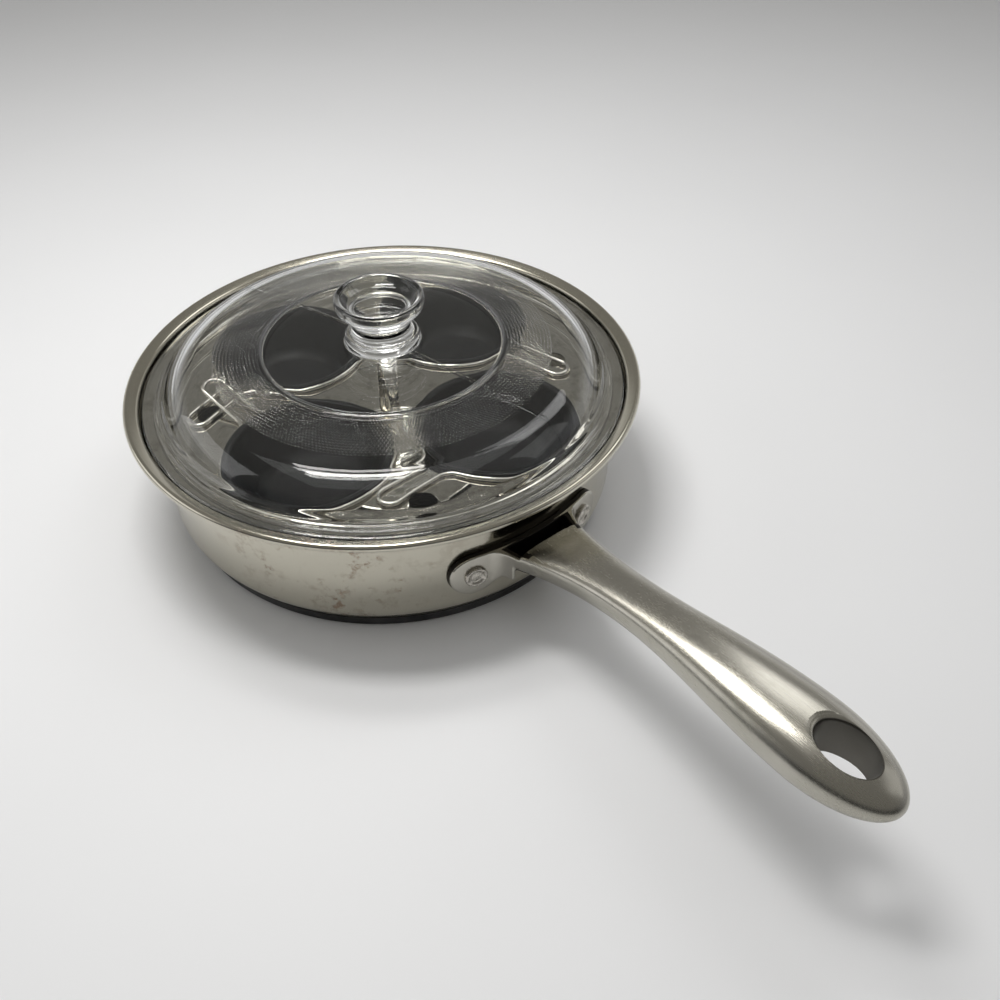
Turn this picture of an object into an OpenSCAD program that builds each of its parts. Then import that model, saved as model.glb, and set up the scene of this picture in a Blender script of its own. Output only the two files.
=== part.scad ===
// Egg poacher pan: a steel pan with a cast handle, a lift-out rack with four egg cups,
// and a pressed glass lid. Millimetres. The origin is the centre of the base, on the hob,
// +Z is up and the handle points along +X.

/* [Pan] */
// Outer radius of the straight wall
wall_r = 117.5; // [113:0.5:124]
// Height of the ledge that carries the rack and the lid
ledge_z = 61.5; // [57:0.5:75]
// Width of the ledge, from the wall's inner face to the riser
ledge_w = 6.2; // [5.4:0.1:8]
// Height of the rim's top above the ledge
rim_rise = 8.9; // [8:0.1:11]
// Width of the flared rim band
flare_w = 7.3; // [6:0.1:9]
// How far the flared band rises over its width
flare_rise = 3.2; // [2:0.1:4]
// Thickness of the pan's sheet
sheet_t = 1; // [0.8:0.1:1.3]
// Radius of the bend from the floor to the wall
corner_r = 12; // [9:0.5:15]

/* [Base] */
// Radius of the heat disc
core_r = 111.4; // [100:0.2:112]
// Thickness of the heat disc
core_t = 4; // [3:0.25:6]
// Thickness of the cap over the disc
cap_t = 0.6; // [0.4:0.1:1]

/* [Handle] */
// Distance from the pan's centre to the handle's tip
handle_tip_x = 310; // [295:1:330]
// Distance from the pan's centre to the widest point of the grip
swell_x = 272; // [262:1:282]
// Distance from the pan's centre to the narrow waist
waist_x = 182; // [172:1:192]
// Width of the handle where it meets the wall
root_w = 44; // [40:1:48]
// Width of the narrow waist
waist_w = 23.2; // [20:0.2:27]
// Width of the grip
swell_w = 37.4; // [34:0.2:42]
// Thickness of the handle where it meets the wall
root_t = 19; // [17:0.5:21]
// How far the widest line of the root lies above its middle
root_lift = 4; // [2:0.5:5]
// Thickness of the handle at the waist
waist_t = 16; // [14:0.5:18]
// Thickness of the grip
swell_t = 23; // [18:0.5:25]
// Height of the handle's middle line at the wall
root_z = 36; // [34:0.5:38]
// Height of the handle's middle line along the grip
grip_z = 57.3; // [50:0.5:64]
// Wall of the hollow root
root_wall = 3; // [2.4:0.2:4]
// Length of the notch that opens the top of the root
notch_len = 12; // [8:0.5:16]
// Length of the hollow beyond the notch
hollow_len = 26; // [18:1:34]
// Length of the hanging hole
hang_l = 25.5; // [20:0.5:30]
// Width of the hanging hole
hang_w = 18.5; // [14:0.5:20]
// Distance from the tip to the hanging hole's middle
hang_to_tip = 25; // [23:0.5:34]

/* [Ears and rivets] */
// Thickness of the strap that joins the ears
ear_t = 3.2; // [2:0.2:3.6]
// Radius of an ear round its rivet
ear_r = 11.5; // [10:0.5:13]
// Reach of the curved web between an ear and the handle's side
web_reach = 6; // [3:0.5:10]
// Angle from the handle's middle to each rivet
rivet_turn = 15.5; // [14.5:0.5:17]
// Height of the rivets above the hob
rivet_z = 33; // [31:0.5:36]
// Radius of a rivet's shank
shank_r = 3; // [2.4:0.2:3.6]
// Radius of a rivet's head
head_r = 5.5; // [4.6:0.1:6.5]
// Height of a rivet's outer head
head_h = 1.6; // [1.2:0.1:2.4]

/* [Rack] */
// Height of the rack's plate above the hob
plate_z = 56.4; // [53:0.2:56.6]
// Thickness of the rack's sheet
rack_t = 0.8; // [0.6:0.1:1]
// Clear band between the cups' wires and the rack's wall
cup_margin = 8; // [6:0.5:10]
// Clear width between the wires of two cups
cup_between = 8.72; // [6:0.02:12]
// Turn of the first cup from the handle
cup_turn = 21.4; // [0:0.2:45]
// Distance from the rack's wall to the middle of each steam vent
vent_margin = 24.6; // [20:0.2:28]
// Radius of a steam vent
vent_r = 6.5; // [4:0.25:8]
// Span of the lift handle between its legs
arch_span = 44; // [36:1:50]
// Height of the lift handle above the plate
arch_h = 25.5; // [20:0.5:26]
// Thickness of the lift handle's strap
arch_t = 1.6; // [1.2:0.1:2.2]
// Width of the strap at its top
arch_w = 9; // [7:0.5:12]
// Width of the strap at its feet
foot_w = 5; // [4:0.5:7]
// Length of each foot
foot_l = 6; // [4:0.5:8]

/* [Egg cups] */
// Width of a cup's lip outside the middle of its wall
lip_w = 3; // [2.6:0.1:3.4]
// Depth of a cup from the top of its lip
cup_depth = 24; // [18:0.5:30]
// Thickness of a cup's wall
cup_t = 1.2; // [0.9:0.1:1.5]
// Radius of a cup's flat bottom
cup_floor_r = 20; // [14:0.5:24]
// Thickness of the wire round a cup
wire_d = 2.2; // [1.8:0.1:2.4]
// Length of a wire's loop handle outside its ring
loop_len = 35.4; // [30:0.2:35.6]
// Half the width between the middles of a loop's two sides
loop_half = 5.7; // [4.5:0.1:5.7]
// Radius of the bends where the ring runs into the loop
loop_bend = 8; // [6:0.5:9]
// Turn of each loop from its cup's own outward direction
loop_turns = [-103, -97, 90, -100];
// Upward tilt of each loop: the last one lies over its neighbour
loop_tilts = [0, 0, 0, 14];

/* [Lid] */
// Thickness of the lid's glass
glass_t = 4; // [3.4:0.1:4.6]
// Height of the dome's top above the lid's underside at the rim
dome_h = 25.1; // [24.6:0.1:30]
// Radius of curvature of the dome
dome_r = 1000; // [800:10:1600]
// Width of the lid outside the place where the dome turns down into the shoulder
shoulder_w = 28; // [25:0.5:34]
// Width of the lid's flat rim
lid_rim_w = 6; // [5:0.25:8]
// Radius of the raised ring on the dome
bead_ring_r = 60; // [40:1:80]
// Radius of the raised ring's own section
bead_r = 0.4; // [0.3:0.1:1]
// Number of rings pressed round the shoulder's foot
ridge_count = 2; // [1:1:3]
// Width of the band that holds the rings
ridge_band = 8; // [6:0.5:10]
// Height of the rings
ridge_h = 0.6; // [0.3:0.1:0.9]

/* [Knob] */
// Radius of the knob's foot
knob_foot_r = 19; // [17:0.5:21]
// Radius of the knob's neck
knob_neck_r = 13.5; // [10:0.5:15]
// Radius of the knob's bowl
knob_bowl_r = 22; // [20:0.5:24]
// Height of the knob above the dome
knob_h = 24.5; // [22:0.5:28]
// Depth of the dish in the knob's top
dish_depth = 5; // [4.5:0.25:7]

/* [Clearances] */
// Gap between a lifted-out piece and its seat
seat_gap = 0.3; // [0.2:0.05:0.4]
// Gap round the lid and the rack's flange inside the riser
rim_gap = 0.7; // [0.5:0.05:1]
// Gap between the rack's wall and the pan's wall
rack_gap = 1.1; // [0.8:0.1:1.6]
// Gap between a cup's bowl and its opening in the rack
cup_gap = 1; // [0.6:0.1:1.2]
// Gap round a rivet's shank
shank_gap = 0.05; // [0.02:0.01:0.1]

/* [Hidden] */

$fn = 96;
arc_steps = 8;
bend_steps = 4;
eps = 0.01;
cups = 4;
cup_step = 360 / cups;

// Levels and radii that follow from the sizes above
floor_under_z = cap_t + core_t;
floor_mid_z = floor_under_z + sheet_t / 2;
wall_mid_r = wall_r - sheet_t / 2;
wall_in_r = wall_r - sheet_t;
riser_in_r = wall_in_r + ledge_w;
riser_mid_r = riser_in_r + sheet_t / 2;
rim_top_z = ledge_z + rim_rise;
rim_r = riser_in_r + flare_w;
small_bend = 1.5;
flare_bend = 2;
curl_r = 1.3;
curl_end_turn = -40;

rack_flange_r = riser_in_r - rim_gap;
rack_flange_z = ledge_z + seat_gap;
rack_flange_mid_z = rack_flange_z + rack_t / 2;
rack_in_r = wall_in_r - rack_gap - rack_t;
rack_wall_mid_r = rack_in_r + rack_t / 2;
plate_mid_z = plate_z - rack_t / 2;
rack_bend = 2.5;
hole_cut_h = 6 * rack_t;

lid_r = riser_in_r - rim_gap;
lid_under_z = rack_flange_z + rack_t + seat_gap;
lid_rim_mid_z = lid_under_z + glass_t / 2;
dome_top_z = lid_under_z + dome_h;

// The cups and their wires share the room inside the rack's wall
wire_r = wire_d / 2;
half_step_sin = sin(cup_step / 2);
cup_room_r = rack_in_r - cup_margin;
wire_out_r = (2 * cup_room_r * half_step_sin - cup_between) / (2 + 2 * half_step_sin);
cup_ring_r = cup_room_r - wire_out_r;
vent_ring_r = rack_in_r - vent_margin;
wire_ring_r = wire_out_r - wire_r;
cup_hole_r = wire_out_r - wire_d - seat_gap;
bowl_mid_r = cup_hole_r - cup_gap - cup_t / 2;
lip_r = bowl_mid_r + lip_w;
loop_reach = wire_out_r + loop_len;
wire_z = plate_z + seat_gap + wire_r;
lip_under_z = wire_z + wire_r;
lip_mid_z = lip_under_z + cup_t / 2;
cup_floor_mid_z = lip_under_z + cup_t - cup_depth - cup_t / 2;
lip_bend = 1.2;

// Geometry helpers

// Points along an arc round centre c, from angle a0 to a1
function arc_pts(c, r, a0, a1, n = arc_steps) =
    [for (i = [0:n]) let (a = a0 + (a1 - a0) * i / n) c + r * [cos(a), sin(a)]];

// A cubic Bezier curve
function bezier_pts(p0, p1, p2, p3, n = arc_steps) =
    [for (i = [0:n]) let (t = i / n, s = 1 - t)
        s * s * s * p0 + 3 * s * s * t * p1 + 3 * s * t * t * p2 + t * t * t * p3];

// A line without its first point, to join it to the line before it
function tail(p) = [for (i = [1:len(p) - 1]) p[i]];

function unit(v) = v / norm(v);
function left_of(v) = [-v[1], v[0]];

// The mitred side direction at point i of a path
function side_at(p, i) =
    let (last = len(p) - 1,
         a = i == 0 ? unit(p[1] - p[0]) : unit(p[i] - p[i - 1]),
         b = i == last ? unit(p[last] - p[last - 1]) : unit(p[i + 1] - p[i]),
         n = unit(left_of(a) + left_of(b)))
    n / (n * left_of(a));

function off_axis(q) = [max(0, q[0]), q[1]];

// The closed outline of a sheet of thickness t that follows a path
function sheet(p, t) = concat(
    [for (i = [0:len(p) - 1]) p[i] + side_at(p, i) * t / 2],
    [for (i = [len(p) - 1:-1:0]) p[i] - side_at(p, i) * t / 2]);

// The wall of a round pressed piece
module turned_sheet(path, t) {
    rotate_extrude() polygon([for (q = sheet(path, t)) off_axis(q)]);
}

// Places its children at cup i, with +X pointing away from the pan's centre
module at_cup(i) {
    rotate([0, 0, cup_turn + cup_step * i]) translate([cup_ring_r, 0, 0]) children();
}

// Pan

flare_turn = atan2(flare_rise, flare_w);
curl_c = [rim_r - sheet_t / 2 - curl_r, rim_top_z - sheet_t / 2 - curl_r];
curl_start = curl_c + curl_r * [cos(90 + flare_turn), sin(90 + flare_turn)];
flare_start_r = riser_mid_r + flare_bend + flare_bend * cos(90 + flare_turn);
flare_bend_z = curl_start[1] - (curl_start[0] - flare_start_r) * tan(flare_turn)
    - flare_bend * sin(90 + flare_turn);
ledge_mid_z = ledge_z - sheet_t / 2;

pan_path = concat(
    [[0, floor_mid_z]],
    arc_pts([wall_mid_r - corner_r, floor_mid_z + corner_r], corner_r, -90, 0),
    arc_pts([wall_mid_r + small_bend, ledge_mid_z - small_bend], small_bend, 180, 90, bend_steps),
    arc_pts([riser_mid_r - small_bend, ledge_mid_z + small_bend], small_bend, -90, 0, bend_steps),
    arc_pts([riser_mid_r + flare_bend, flare_bend_z], flare_bend, 180, 90 + flare_turn, bend_steps),
    arc_pts(curl_c, curl_r, 90 + flare_turn, curl_end_turn));

// Draws its children at both rivets, with +X pointing straight out of the wall
module at_rivets() {
    for (side = [-1, 1])
        rotate([0, 0, side * rivet_turn]) translate([0, 0, rivet_z]) rotate([0, 90, 0])
            children();
}

module rivet_holes() {
    at_rivets() translate([0, 0, wall_in_r - sheet_t])
        cylinder(r = shank_r + shank_gap, h = sheet_t * 2 + ear_t * 2);
}

module pan_shell() {
    color("silver") difference() {
        turned_sheet(pan_path, sheet_t);
        rivet_holes();
    }
}

module base_core() {
    color("darkgray") translate([0, 0, cap_t]) cylinder(r = core_r, h = core_t);
}

module base_cap() {
    color("silver") difference() {
        cylinder(r = core_r + cap_t, h = floor_under_z);
        translate([0, 0, cap_t]) cylinder(r = core_r, h = core_t + eps);
    }
}

// Handle

// Position along the handle from the wall, 0, to the widest point, 1
function along(x) = min(1, max(0, (x - wall_r) / (swell_x - wall_r)));
// Height of the handle's middle line
function handle_z(x) = grip_z - (grip_z - root_z) * pow(1 - along(x), 2);
// A share that goes smoothly from 0 to 1
function ease(t) = (1 - cos(180 * t)) / 2;
function to_waist(x) = max(0, min(1, (x - wall_r) / (waist_x - wall_r)));
function to_swell(x) = max(0, min(1, (x - waist_x) / (swell_x - waist_x)));
root_flare = 2.2;
// How far the tip's rounding has closed the section
function tip_share(x) = sqrt(max(0, 1 - pow(max(0, x - swell_x) / (handle_tip_x - swell_x), 2)));
function half_w(x) = tip_share(x) / 2 * (x < waist_x
    ? waist_w + (root_w - waist_w) * pow(1 - to_waist(x), root_flare)
    : waist_w + (swell_w - waist_w) * ease(to_swell(x)));
function half_t(x) = tip_share(x) / 2 * (x < waist_x
    ? waist_t + (root_t - waist_t) * pow(1 - to_waist(x), 2)
    : waist_t + (swell_t - waist_t) * ease(to_swell(x)));

section_sides = 36;
grip_roundness = 2.3;
top_squareness = 1;
ridge_fade = 1.15;
// How strongly the root's own shape shows at x
function root_share(x) = max(0, 1 - ridge_fade * along(x));
function signed_pow(v, e) = (v < 0 ? -1 : 1) * pow(abs(v), e);
// One section of the handle at x, drawn in by a wall: towards the root its widest line
// lies high, under a flatter top with a ridge along each side
function section(x, inset) =
    [for (k = [0:section_sides - 1])
        let (a = 360 * k / section_sides, top = sin(a) > 0,
             lift = root_lift * root_share(x),
             e = 2 / (grip_roundness + (top ? top_squareness * root_share(x) : 0)))
        [x, (half_w(x) - inset) * signed_pow(cos(a), e),
            handle_z(x) + lift
                + (half_t(x) - inset + (top ? -lift : lift)) * signed_pow(sin(a), e)]];

// A closed skin over a row of sections
module loft(rings) {
    n = len(rings);
    m = len(rings[0]);
    pts = [for (r = rings) for (p = r) p];
    sides = [for (i = [0:n - 2]) for (k = [0:m - 1]) let (k2 = (k + 1) % m)
        each [[i * m + k, (i + 1) * m + k2, i * m + k2],
              [i * m + k, (i + 1) * m + k, (i + 1) * m + k2]]];
    start = [for (k = [1:m - 2]) [0, k, k + 1]];
    end = [for (k = [1:m - 2]) [(n - 1) * m, (n - 1) * m + k + 1, (n - 1) * m + k]];
    polyhedron(points = pts, faces = concat(sides, start, end));
}

body_steps = 26;
tip_steps = 9;
tip_end_turn = 88.5;
root_start_x = wall_r - 6;
handle_xs = concat(
    [for (i = [0:body_steps]) root_start_x + (swell_x - root_start_x) * i / body_steps],
    [for (i = [1:tip_steps]) swell_x + (handle_tip_x - swell_x) * sin(tip_end_turn * i / tip_steps)]);

// The strap that carries the ears lies on the wall, and the handle's top starts past it
ear_out_r = wall_r + ear_t;
strap_top_z = rivet_z + ear_r;
strap_low_z = root_z - root_t / 2;
notch_x = wall_r + notch_len;
notch_z = root_z + root_wall;
hollow_end_x = notch_x + hollow_len;
hollow_steps = 8;
hollow_xs = [for (i = [0:hollow_steps])
    root_start_x + (hollow_end_x - root_start_x) * i / hollow_steps];

// What is cut from the root's top: its walls down to the strap's top, its inside deeper
module root_notch() {
    translate([root_start_x, -root_w, strap_top_z])
        cube([notch_x - root_start_x, 2 * root_w, root_t]);
    translate([0, 0, notch_z]) linear_extrude(height = root_t)
        polygon([for (side = [-1, 1]) for (x = side < 0 ? [root_start_x, notch_x]
            : [notch_x, root_start_x]) [x, side * (half_w(x) - root_wall)]]);
}

// An oval from a formula
function oval(l, w, n = 48) = [for (k = [0:n - 1]) let (a = 360 * k / n)
    [l / 2 * cos(a), w / 2 * sin(a)]];

module hanging_hole() {
    translate([handle_tip_x - hang_to_tip, 0, 0]) linear_extrude(height = 2 * grip_z)
        polygon(oval(hang_l, hang_w));
}

rivet_y = ear_out_r * sin(rivet_turn);
head_margin = 1;
web_end_x = ear_out_r + web_reach;
web_start_turn = rivet_turn - asin((head_r + head_margin) / ear_out_r);
root_turn = asin(root_w / 2 / ear_out_r);
web_inset = 3;
// The curve from the strap to the handle's side, seen from above
web_curve = bezier_pts(ear_out_r * [cos(web_start_turn), sin(web_start_turn)],
    ear_out_r * [cos(root_turn), sin(root_turn)],
    [web_end_x - web_reach / 2, half_w(web_end_x - web_reach / 2)],
    [web_end_x, half_w(web_end_x)]);
web_in_y = half_w(web_end_x) - root_wall / 2;

// The strap with its two rounded ears, which runs into the handle's sides in a curve
module ears() {
    intersection() {
        union() {
            difference() {
                cylinder(r = ear_out_r, h = ledge_z);
                translate([0, 0, -eps]) cylinder(r = wall_r, h = ledge_z + 2 * eps);
            }
            for (side = [-1, 1])
                linear_extrude(height = ledge_z)
                    polygon([for (q = concat([[root_start_x, web_curve[0][1]]], web_curve,
                        [[web_end_x, web_in_y], [root_start_x, web_in_y]])) [q[0], side * q[1]]]);
        }
        rotate([90, 0, 90]) linear_extrude(height = 2 * ear_out_r) {
            for (side = [-1, 1]) translate([side * rivet_y, rivet_z]) circle(r = ear_r);
            polygon([[rivet_y, strap_top_z], [-rivet_y, strap_top_z],
                [-rivet_y, rivet_z - ear_r], [-root_w / 2, strap_low_z + web_inset],
                [root_w / 2, strap_low_z + web_inset], [rivet_y, rivet_z - ear_r]]);
        }
    }
}

module handle() {
    color("lightgray") difference() {
        union() {
            difference() {
                loft([for (x = handle_xs) section(x, 0)]);
                loft([for (x = hollow_xs) section(x, root_wall)]);
                root_notch();
                hanging_hole();
            }
            ears();
        }
        cylinder(r = wall_r, h = ledge_z);
        rivet_holes();
    }
}

// A rivet with a dished outer head, along +Z from the pan's axis
module rivet() {
    inner_head_t = 1.2;
    edge = 0.5;
    curve_gap = 0.2;
    inner_z = wall_in_r - curve_gap;
    inner_face_z = inner_z - inner_head_t;
    outer_z = ear_out_r;
    outer_face_z = outer_z + head_h;
    dish_r = head_r - 1.8;
    dish_z = outer_face_z - head_h / 2;
    rotate_extrude() polygon([
        [0, inner_face_z], [head_r - edge, inner_face_z], [head_r, inner_face_z + edge],
        [head_r, inner_z], [shank_r, inner_z], [shank_r, outer_z], [head_r, outer_z],
        [head_r, outer_face_z - 2 * edge], [head_r - edge, outer_face_z - edge / 2],
        [head_r - 2 * edge, outer_face_z], [dish_r, outer_face_z - edge / 2],
        [dish_r - edge, dish_z], [0, dish_z]]);
}

module handle_rivets() {
    color("gainsboro") at_rivets() rivet();
}

// Rack

rack_path = concat(
    [[0, plate_mid_z]],
    arc_pts([rack_wall_mid_r - rack_bend, plate_mid_z + rack_bend], rack_bend, -90, 0, bend_steps),
    arc_pts([rack_wall_mid_r + small_bend, rack_flange_mid_z - small_bend], small_bend, 180, 90, bend_steps),
    [[rack_flange_r, rack_flange_mid_z]]);

module rack_plate() {
    color("silver") difference() {
        turned_sheet(rack_path, rack_t);
        for (i = [0:cups - 1]) {
            at_cup(i) translate([0, 0, plate_mid_z])
                cylinder(r = cup_hole_r, h = hole_cut_h, center = true);
            rotate([0, 0, cup_turn + cup_step * (i + 0.5)])
                translate([vent_ring_r, 0, plate_mid_z])
                    cylinder(r = vent_r, h = hole_cut_h, center = true);
        }
    }
}

// The lift handle: an arched strap that narrows to two feet
foot_bend = 1.5;
arch_foot_z = 2;
arch_steps = 10;
module rack_lift_handle() {
    leg_r = arch_span / 2;
    foot_x = leg_r + foot_l;
    crown = arch_h - arch_foot_z - arch_t / 2;
    widest_x = leg_r / 2;
    arch_path = concat(
        [[foot_x, arch_t / 2]],
        arc_pts([leg_r + foot_bend, arch_t / 2 + foot_bend], foot_bend, -90, -180, bend_steps),
        [for (i = [1:arch_steps - 1]) let (a = 180 * i / arch_steps)
            [leg_r * cos(a), arch_foot_z + crown * sin(a)]],
        arc_pts([-leg_r - foot_bend, arch_t / 2 + foot_bend], foot_bend, 0, -90, bend_steps),
        [[-foot_x, arch_t / 2]]);
    half_plan = [[foot_x, foot_w / 2], [leg_r, foot_w / 2], [widest_x, arch_w / 2],
        [-widest_x, arch_w / 2], [-leg_r, foot_w / 2], [-foot_x, foot_w / 2]];
    color("silver") rotate([0, 0, cup_turn + cup_step * 3.5]) translate([0, 0, plate_z])
        intersection() {
            rotate([90, 0, 0]) linear_extrude(height = arch_w, center = true)
                polygon(sheet(arch_path, arch_t));
            linear_extrude(height = arch_h + arch_t)
                polygon(concat(half_plan, [for (i = [len(half_plan) - 1:-1:0])
                    [half_plan[i][0], -half_plan[i][1]]]));
        }
}

// Egg cups

cup_corner_r = 10;
cup_corner_turn = -25;
bowl_draft = 1.5;
bowl_straight_h = 8;
cup_path = concat(
    [[0, cup_floor_mid_z]],
    arc_pts([cup_floor_r, cup_floor_mid_z + cup_corner_r], cup_corner_r, -90, cup_corner_turn),
    [[bowl_mid_r - bowl_draft, lip_mid_z - bowl_straight_h]],
    arc_pts([bowl_mid_r + lip_bend, lip_mid_z - lip_bend], lip_bend, 180, 90, bend_steps),
    [[lip_r, lip_mid_z]]);

module cup(i) {
    color("#2b3033") at_cup(i) turned_sheet(cup_path, cup_t);
}

// The wire: a ring under the cup's lip that runs out into a loop handle

bend_y = loop_half + loop_bend;
bend_x = sqrt(pow(wire_ring_r + loop_bend, 2) - bend_y * bend_y);
leave_turn = asin(bend_y / (wire_ring_r + loop_bend));
loop_tip_x = loop_reach - loop_half - wire_r;

wire_sides = 10;
ring_steps = 40;
tip_arc_steps = 10;

// The middle line of the wire, round the ring and out round the loop
wire_line = concat(
    arc_pts([0, 0], wire_ring_r, leave_turn, 360 - leave_turn, ring_steps),
    [for (i = [1:bend_steps]) let (a = 180 - leave_turn - (90 - leave_turn) * i / bend_steps)
        [bend_x + loop_bend * cos(a), -bend_y + loop_bend * sin(a)]],
    arc_pts([loop_tip_x, 0], loop_half, -90, 90, tip_arc_steps),
    [for (i = [0:bend_steps - 1]) let (a = 270 - (90 - leave_turn) * i / bend_steps)
        [bend_x + loop_bend * cos(a), bend_y + loop_bend * sin(a)]]);

// The same line with its loop tilted up about the place where the straight sides start
function tilted(p, tilt) = p[0] <= bend_x ? [p[0], p[1], 0]
    : [bend_x + (p[0] - bend_x) * cos(tilt), p[1], (p[0] - bend_x) * sin(tilt)];

// A round wire swept along a closed line
module closed_wire(line, r, sides) {
    n = len(line);
    pts = [for (i = [0:n - 1])
        let (t = unit(line[(i + 1) % n] - line[(i + n - 1) % n]),
             side = unit(cross(t, [0, 0, 1])),
             up = cross(side, t))
        for (k = [0:sides - 1]) let (a = 360 * k / sides)
            line[i] + r * (cos(a) * side + sin(a) * up)];
    faces = [for (i = [0:n - 1]) for (k = [0:sides - 1])
        let (i2 = (i + 1) % n, k2 = (k + 1) % sides)
        each [[i * sides + k, i2 * sides + k2, i * sides + k2],
              [i * sides + k, i2 * sides + k, i2 * sides + k2]]];
    polyhedron(points = pts, faces = faces);
}

module cup_wire(i) {
    color("silver") at_cup(i) rotate([0, 0, loop_turns[i]]) translate([0, 0, wire_z])
        closed_wire([for (p = wire_line) tilted(p, loop_tilts[i])], wire_r, wire_sides);
}

// Lid

dome_mid_top = dome_top_z - glass_t / 2;
function dome_z(r) = dome_mid_top - r * r / (2 * dome_r);
dome_edge_r = lid_r - shoulder_w;
dome_slope = dome_edge_r / dome_r;
rim_in_r = lid_r - lid_rim_w;
dome_steps = 12;
shoulder_out = 14;
shoulder_in = 8;
shoulder_steps = 36;
// The middle line of the glass, from the top of the dome to the rim
lid_path = concat(
    [for (i = [0:dome_steps - 1]) let (r = dome_edge_r * i / dome_steps) [r, dome_z(r)]],
    bezier_pts([dome_edge_r, dome_z(dome_edge_r)],
        [dome_edge_r + shoulder_out, dome_z(dome_edge_r) - shoulder_out * dome_slope],
        [rim_in_r - shoulder_in, lid_rim_mid_z], [rim_in_r, lid_rim_mid_z], shoulder_steps),
    [[lid_r - glass_t / 2, lid_rim_mid_z]]);
// The rings pressed into the outer face just inside the flat rim
function ridge_share(r) = min(1, max(0, 1 - (rim_in_r - r) / ridge_band));
function ridge(r) = ridge_h * (1 - cos(360 * ridge_count * ridge_share(r))) / 2;
lid_outer = [for (i = [0:len(lid_path) - 1])
    off_axis(lid_path[i] + side_at(lid_path, i) * (glass_t / 2 + ridge(lid_path[i][0])))];
lid_inner = [for (i = [0:len(lid_path) - 1])
    off_axis(lid_path[i] - side_at(lid_path, i) * glass_t / 2)];

// Heights and radii on the knob
knob_top_z = dome_top_z + knob_h;
foot_edge_z = dome_top_z + 1.6;
foot_top_z = dome_top_z + 4.6;
bowl_under_z = dome_top_z + 13.2;
bowl_z = knob_top_z - 3.2;
knob_edge = 1.8;
knob_edge_turn = 150;
foot_in_r = knob_foot_r - 3;
bowl_in_r = knob_neck_r + 2.6;
dish_rim_r = knob_bowl_r - 2 * knob_edge;
dish_rim_z = knob_top_z - knob_edge;
dish_r = dish_rim_r - 7;
dish_z = knob_top_z - dish_depth;
// How far the knob's curves hold their direction at each end
dish_pull = 3;
bowl_pull = 3.6;
neck_pull = 3;

// The knob's outline, from the middle of its dish down to the dome
knob_line = concat(
    [[0, dish_z]],
    bezier_pts([dish_r, dish_z], [dish_r + dish_pull, dish_z],
        [dish_rim_r - knob_edge, dish_rim_z - knob_edge], [dish_rim_r, dish_rim_z]),
    arc_pts([knob_bowl_r - knob_edge, knob_top_z - knob_edge], knob_edge, knob_edge_turn, 0),
    bezier_pts([knob_bowl_r, bowl_z], [knob_bowl_r, bowl_z - bowl_pull],
        [bowl_in_r + bowl_pull, bowl_under_z + bowl_pull], [bowl_in_r, bowl_under_z]),
    tail(bezier_pts([bowl_in_r, bowl_under_z], [knob_neck_r, bowl_under_z - neck_pull],
        [knob_neck_r, foot_top_z + neck_pull], [foot_in_r, foot_top_z])),
    tail(bezier_pts([foot_in_r, foot_top_z], [knob_foot_r, foot_top_z],
        [knob_foot_r, foot_edge_z], [knob_foot_r, dome_top_z])));

bead_low_turn = 15;
rim_turn = 75;
// The outer face of the dome at radius r
function dome_out_z(r) = dome_z(r) + glass_t / 2;
lid_outline = concat(
    knob_line,
    [for (q = lid_outer) if (q[0] > knob_foot_r && q[0] < bead_ring_r - bead_r) q],
    arc_pts([bead_ring_r, dome_out_z(bead_ring_r)], bead_r, 180 - bead_low_turn, bead_low_turn),
    [for (q = lid_outer) if (q[0] > bead_ring_r + bead_r) q],
    arc_pts([lid_r - glass_t / 2, lid_rim_mid_z], glass_t / 2, rim_turn, -rim_turn),
    [for (i = [len(lid_inner) - 1:-1:0]) lid_inner[i]]);

module glass_lid() {
    color("lightcyan", 0.6) rotate_extrude() polygon(lid_outline);
}

pan_shell();
base_core();
base_cap();
handle();
handle_rivets();
rack_plate();
rack_lift_handle();
cup(0);  // cup_1
cup(1);  // cup_2
cup(2);  // cup_3
cup(3);  // cup_4
cup_wire(0);  // cup_wire_1
cup_wire(1);  // cup_wire_2
cup_wire(2);  // cup_wire_3
cup_wire(3);  // cup_wire_4
glass_lid();
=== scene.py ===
"""Looks of an egg poacher pan, built round its packed construction model.

The pan is pressed stainless steel with a riveted cast handle. A mirror-polished rack with four
non-stick cups sits in it, under a lid of pressed glass. Every size is in metres.
"""
import math
from types import SimpleNamespace

import bmesh
import bpy
from bpy.props import FloatProperty, FloatVectorProperty, IntProperty, PointerProperty
from mathutils import Matrix, Vector


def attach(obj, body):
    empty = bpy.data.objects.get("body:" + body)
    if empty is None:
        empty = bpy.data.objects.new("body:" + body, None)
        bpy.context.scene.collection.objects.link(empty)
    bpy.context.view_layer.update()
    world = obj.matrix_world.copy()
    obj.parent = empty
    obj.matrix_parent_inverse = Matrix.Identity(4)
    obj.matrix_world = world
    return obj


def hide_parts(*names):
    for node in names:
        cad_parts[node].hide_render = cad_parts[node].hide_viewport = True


bl_info = {
    "name": "Egg poacher pan",
    "version": (1, 0, 0),
    "blender": (4, 5, 0),
    "location": "View3D > Sidebar > Egg poacher",
    "description": "Makes the finished pieces of an egg poacher pan round its packed model",
    "category": "Add Mesh",
}

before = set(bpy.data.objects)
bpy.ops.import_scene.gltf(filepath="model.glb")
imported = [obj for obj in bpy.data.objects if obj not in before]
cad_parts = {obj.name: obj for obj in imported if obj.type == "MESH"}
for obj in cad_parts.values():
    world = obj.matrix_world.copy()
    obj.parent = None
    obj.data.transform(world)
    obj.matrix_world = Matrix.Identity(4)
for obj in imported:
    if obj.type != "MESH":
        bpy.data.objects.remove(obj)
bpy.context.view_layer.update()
MM = 0.001


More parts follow.
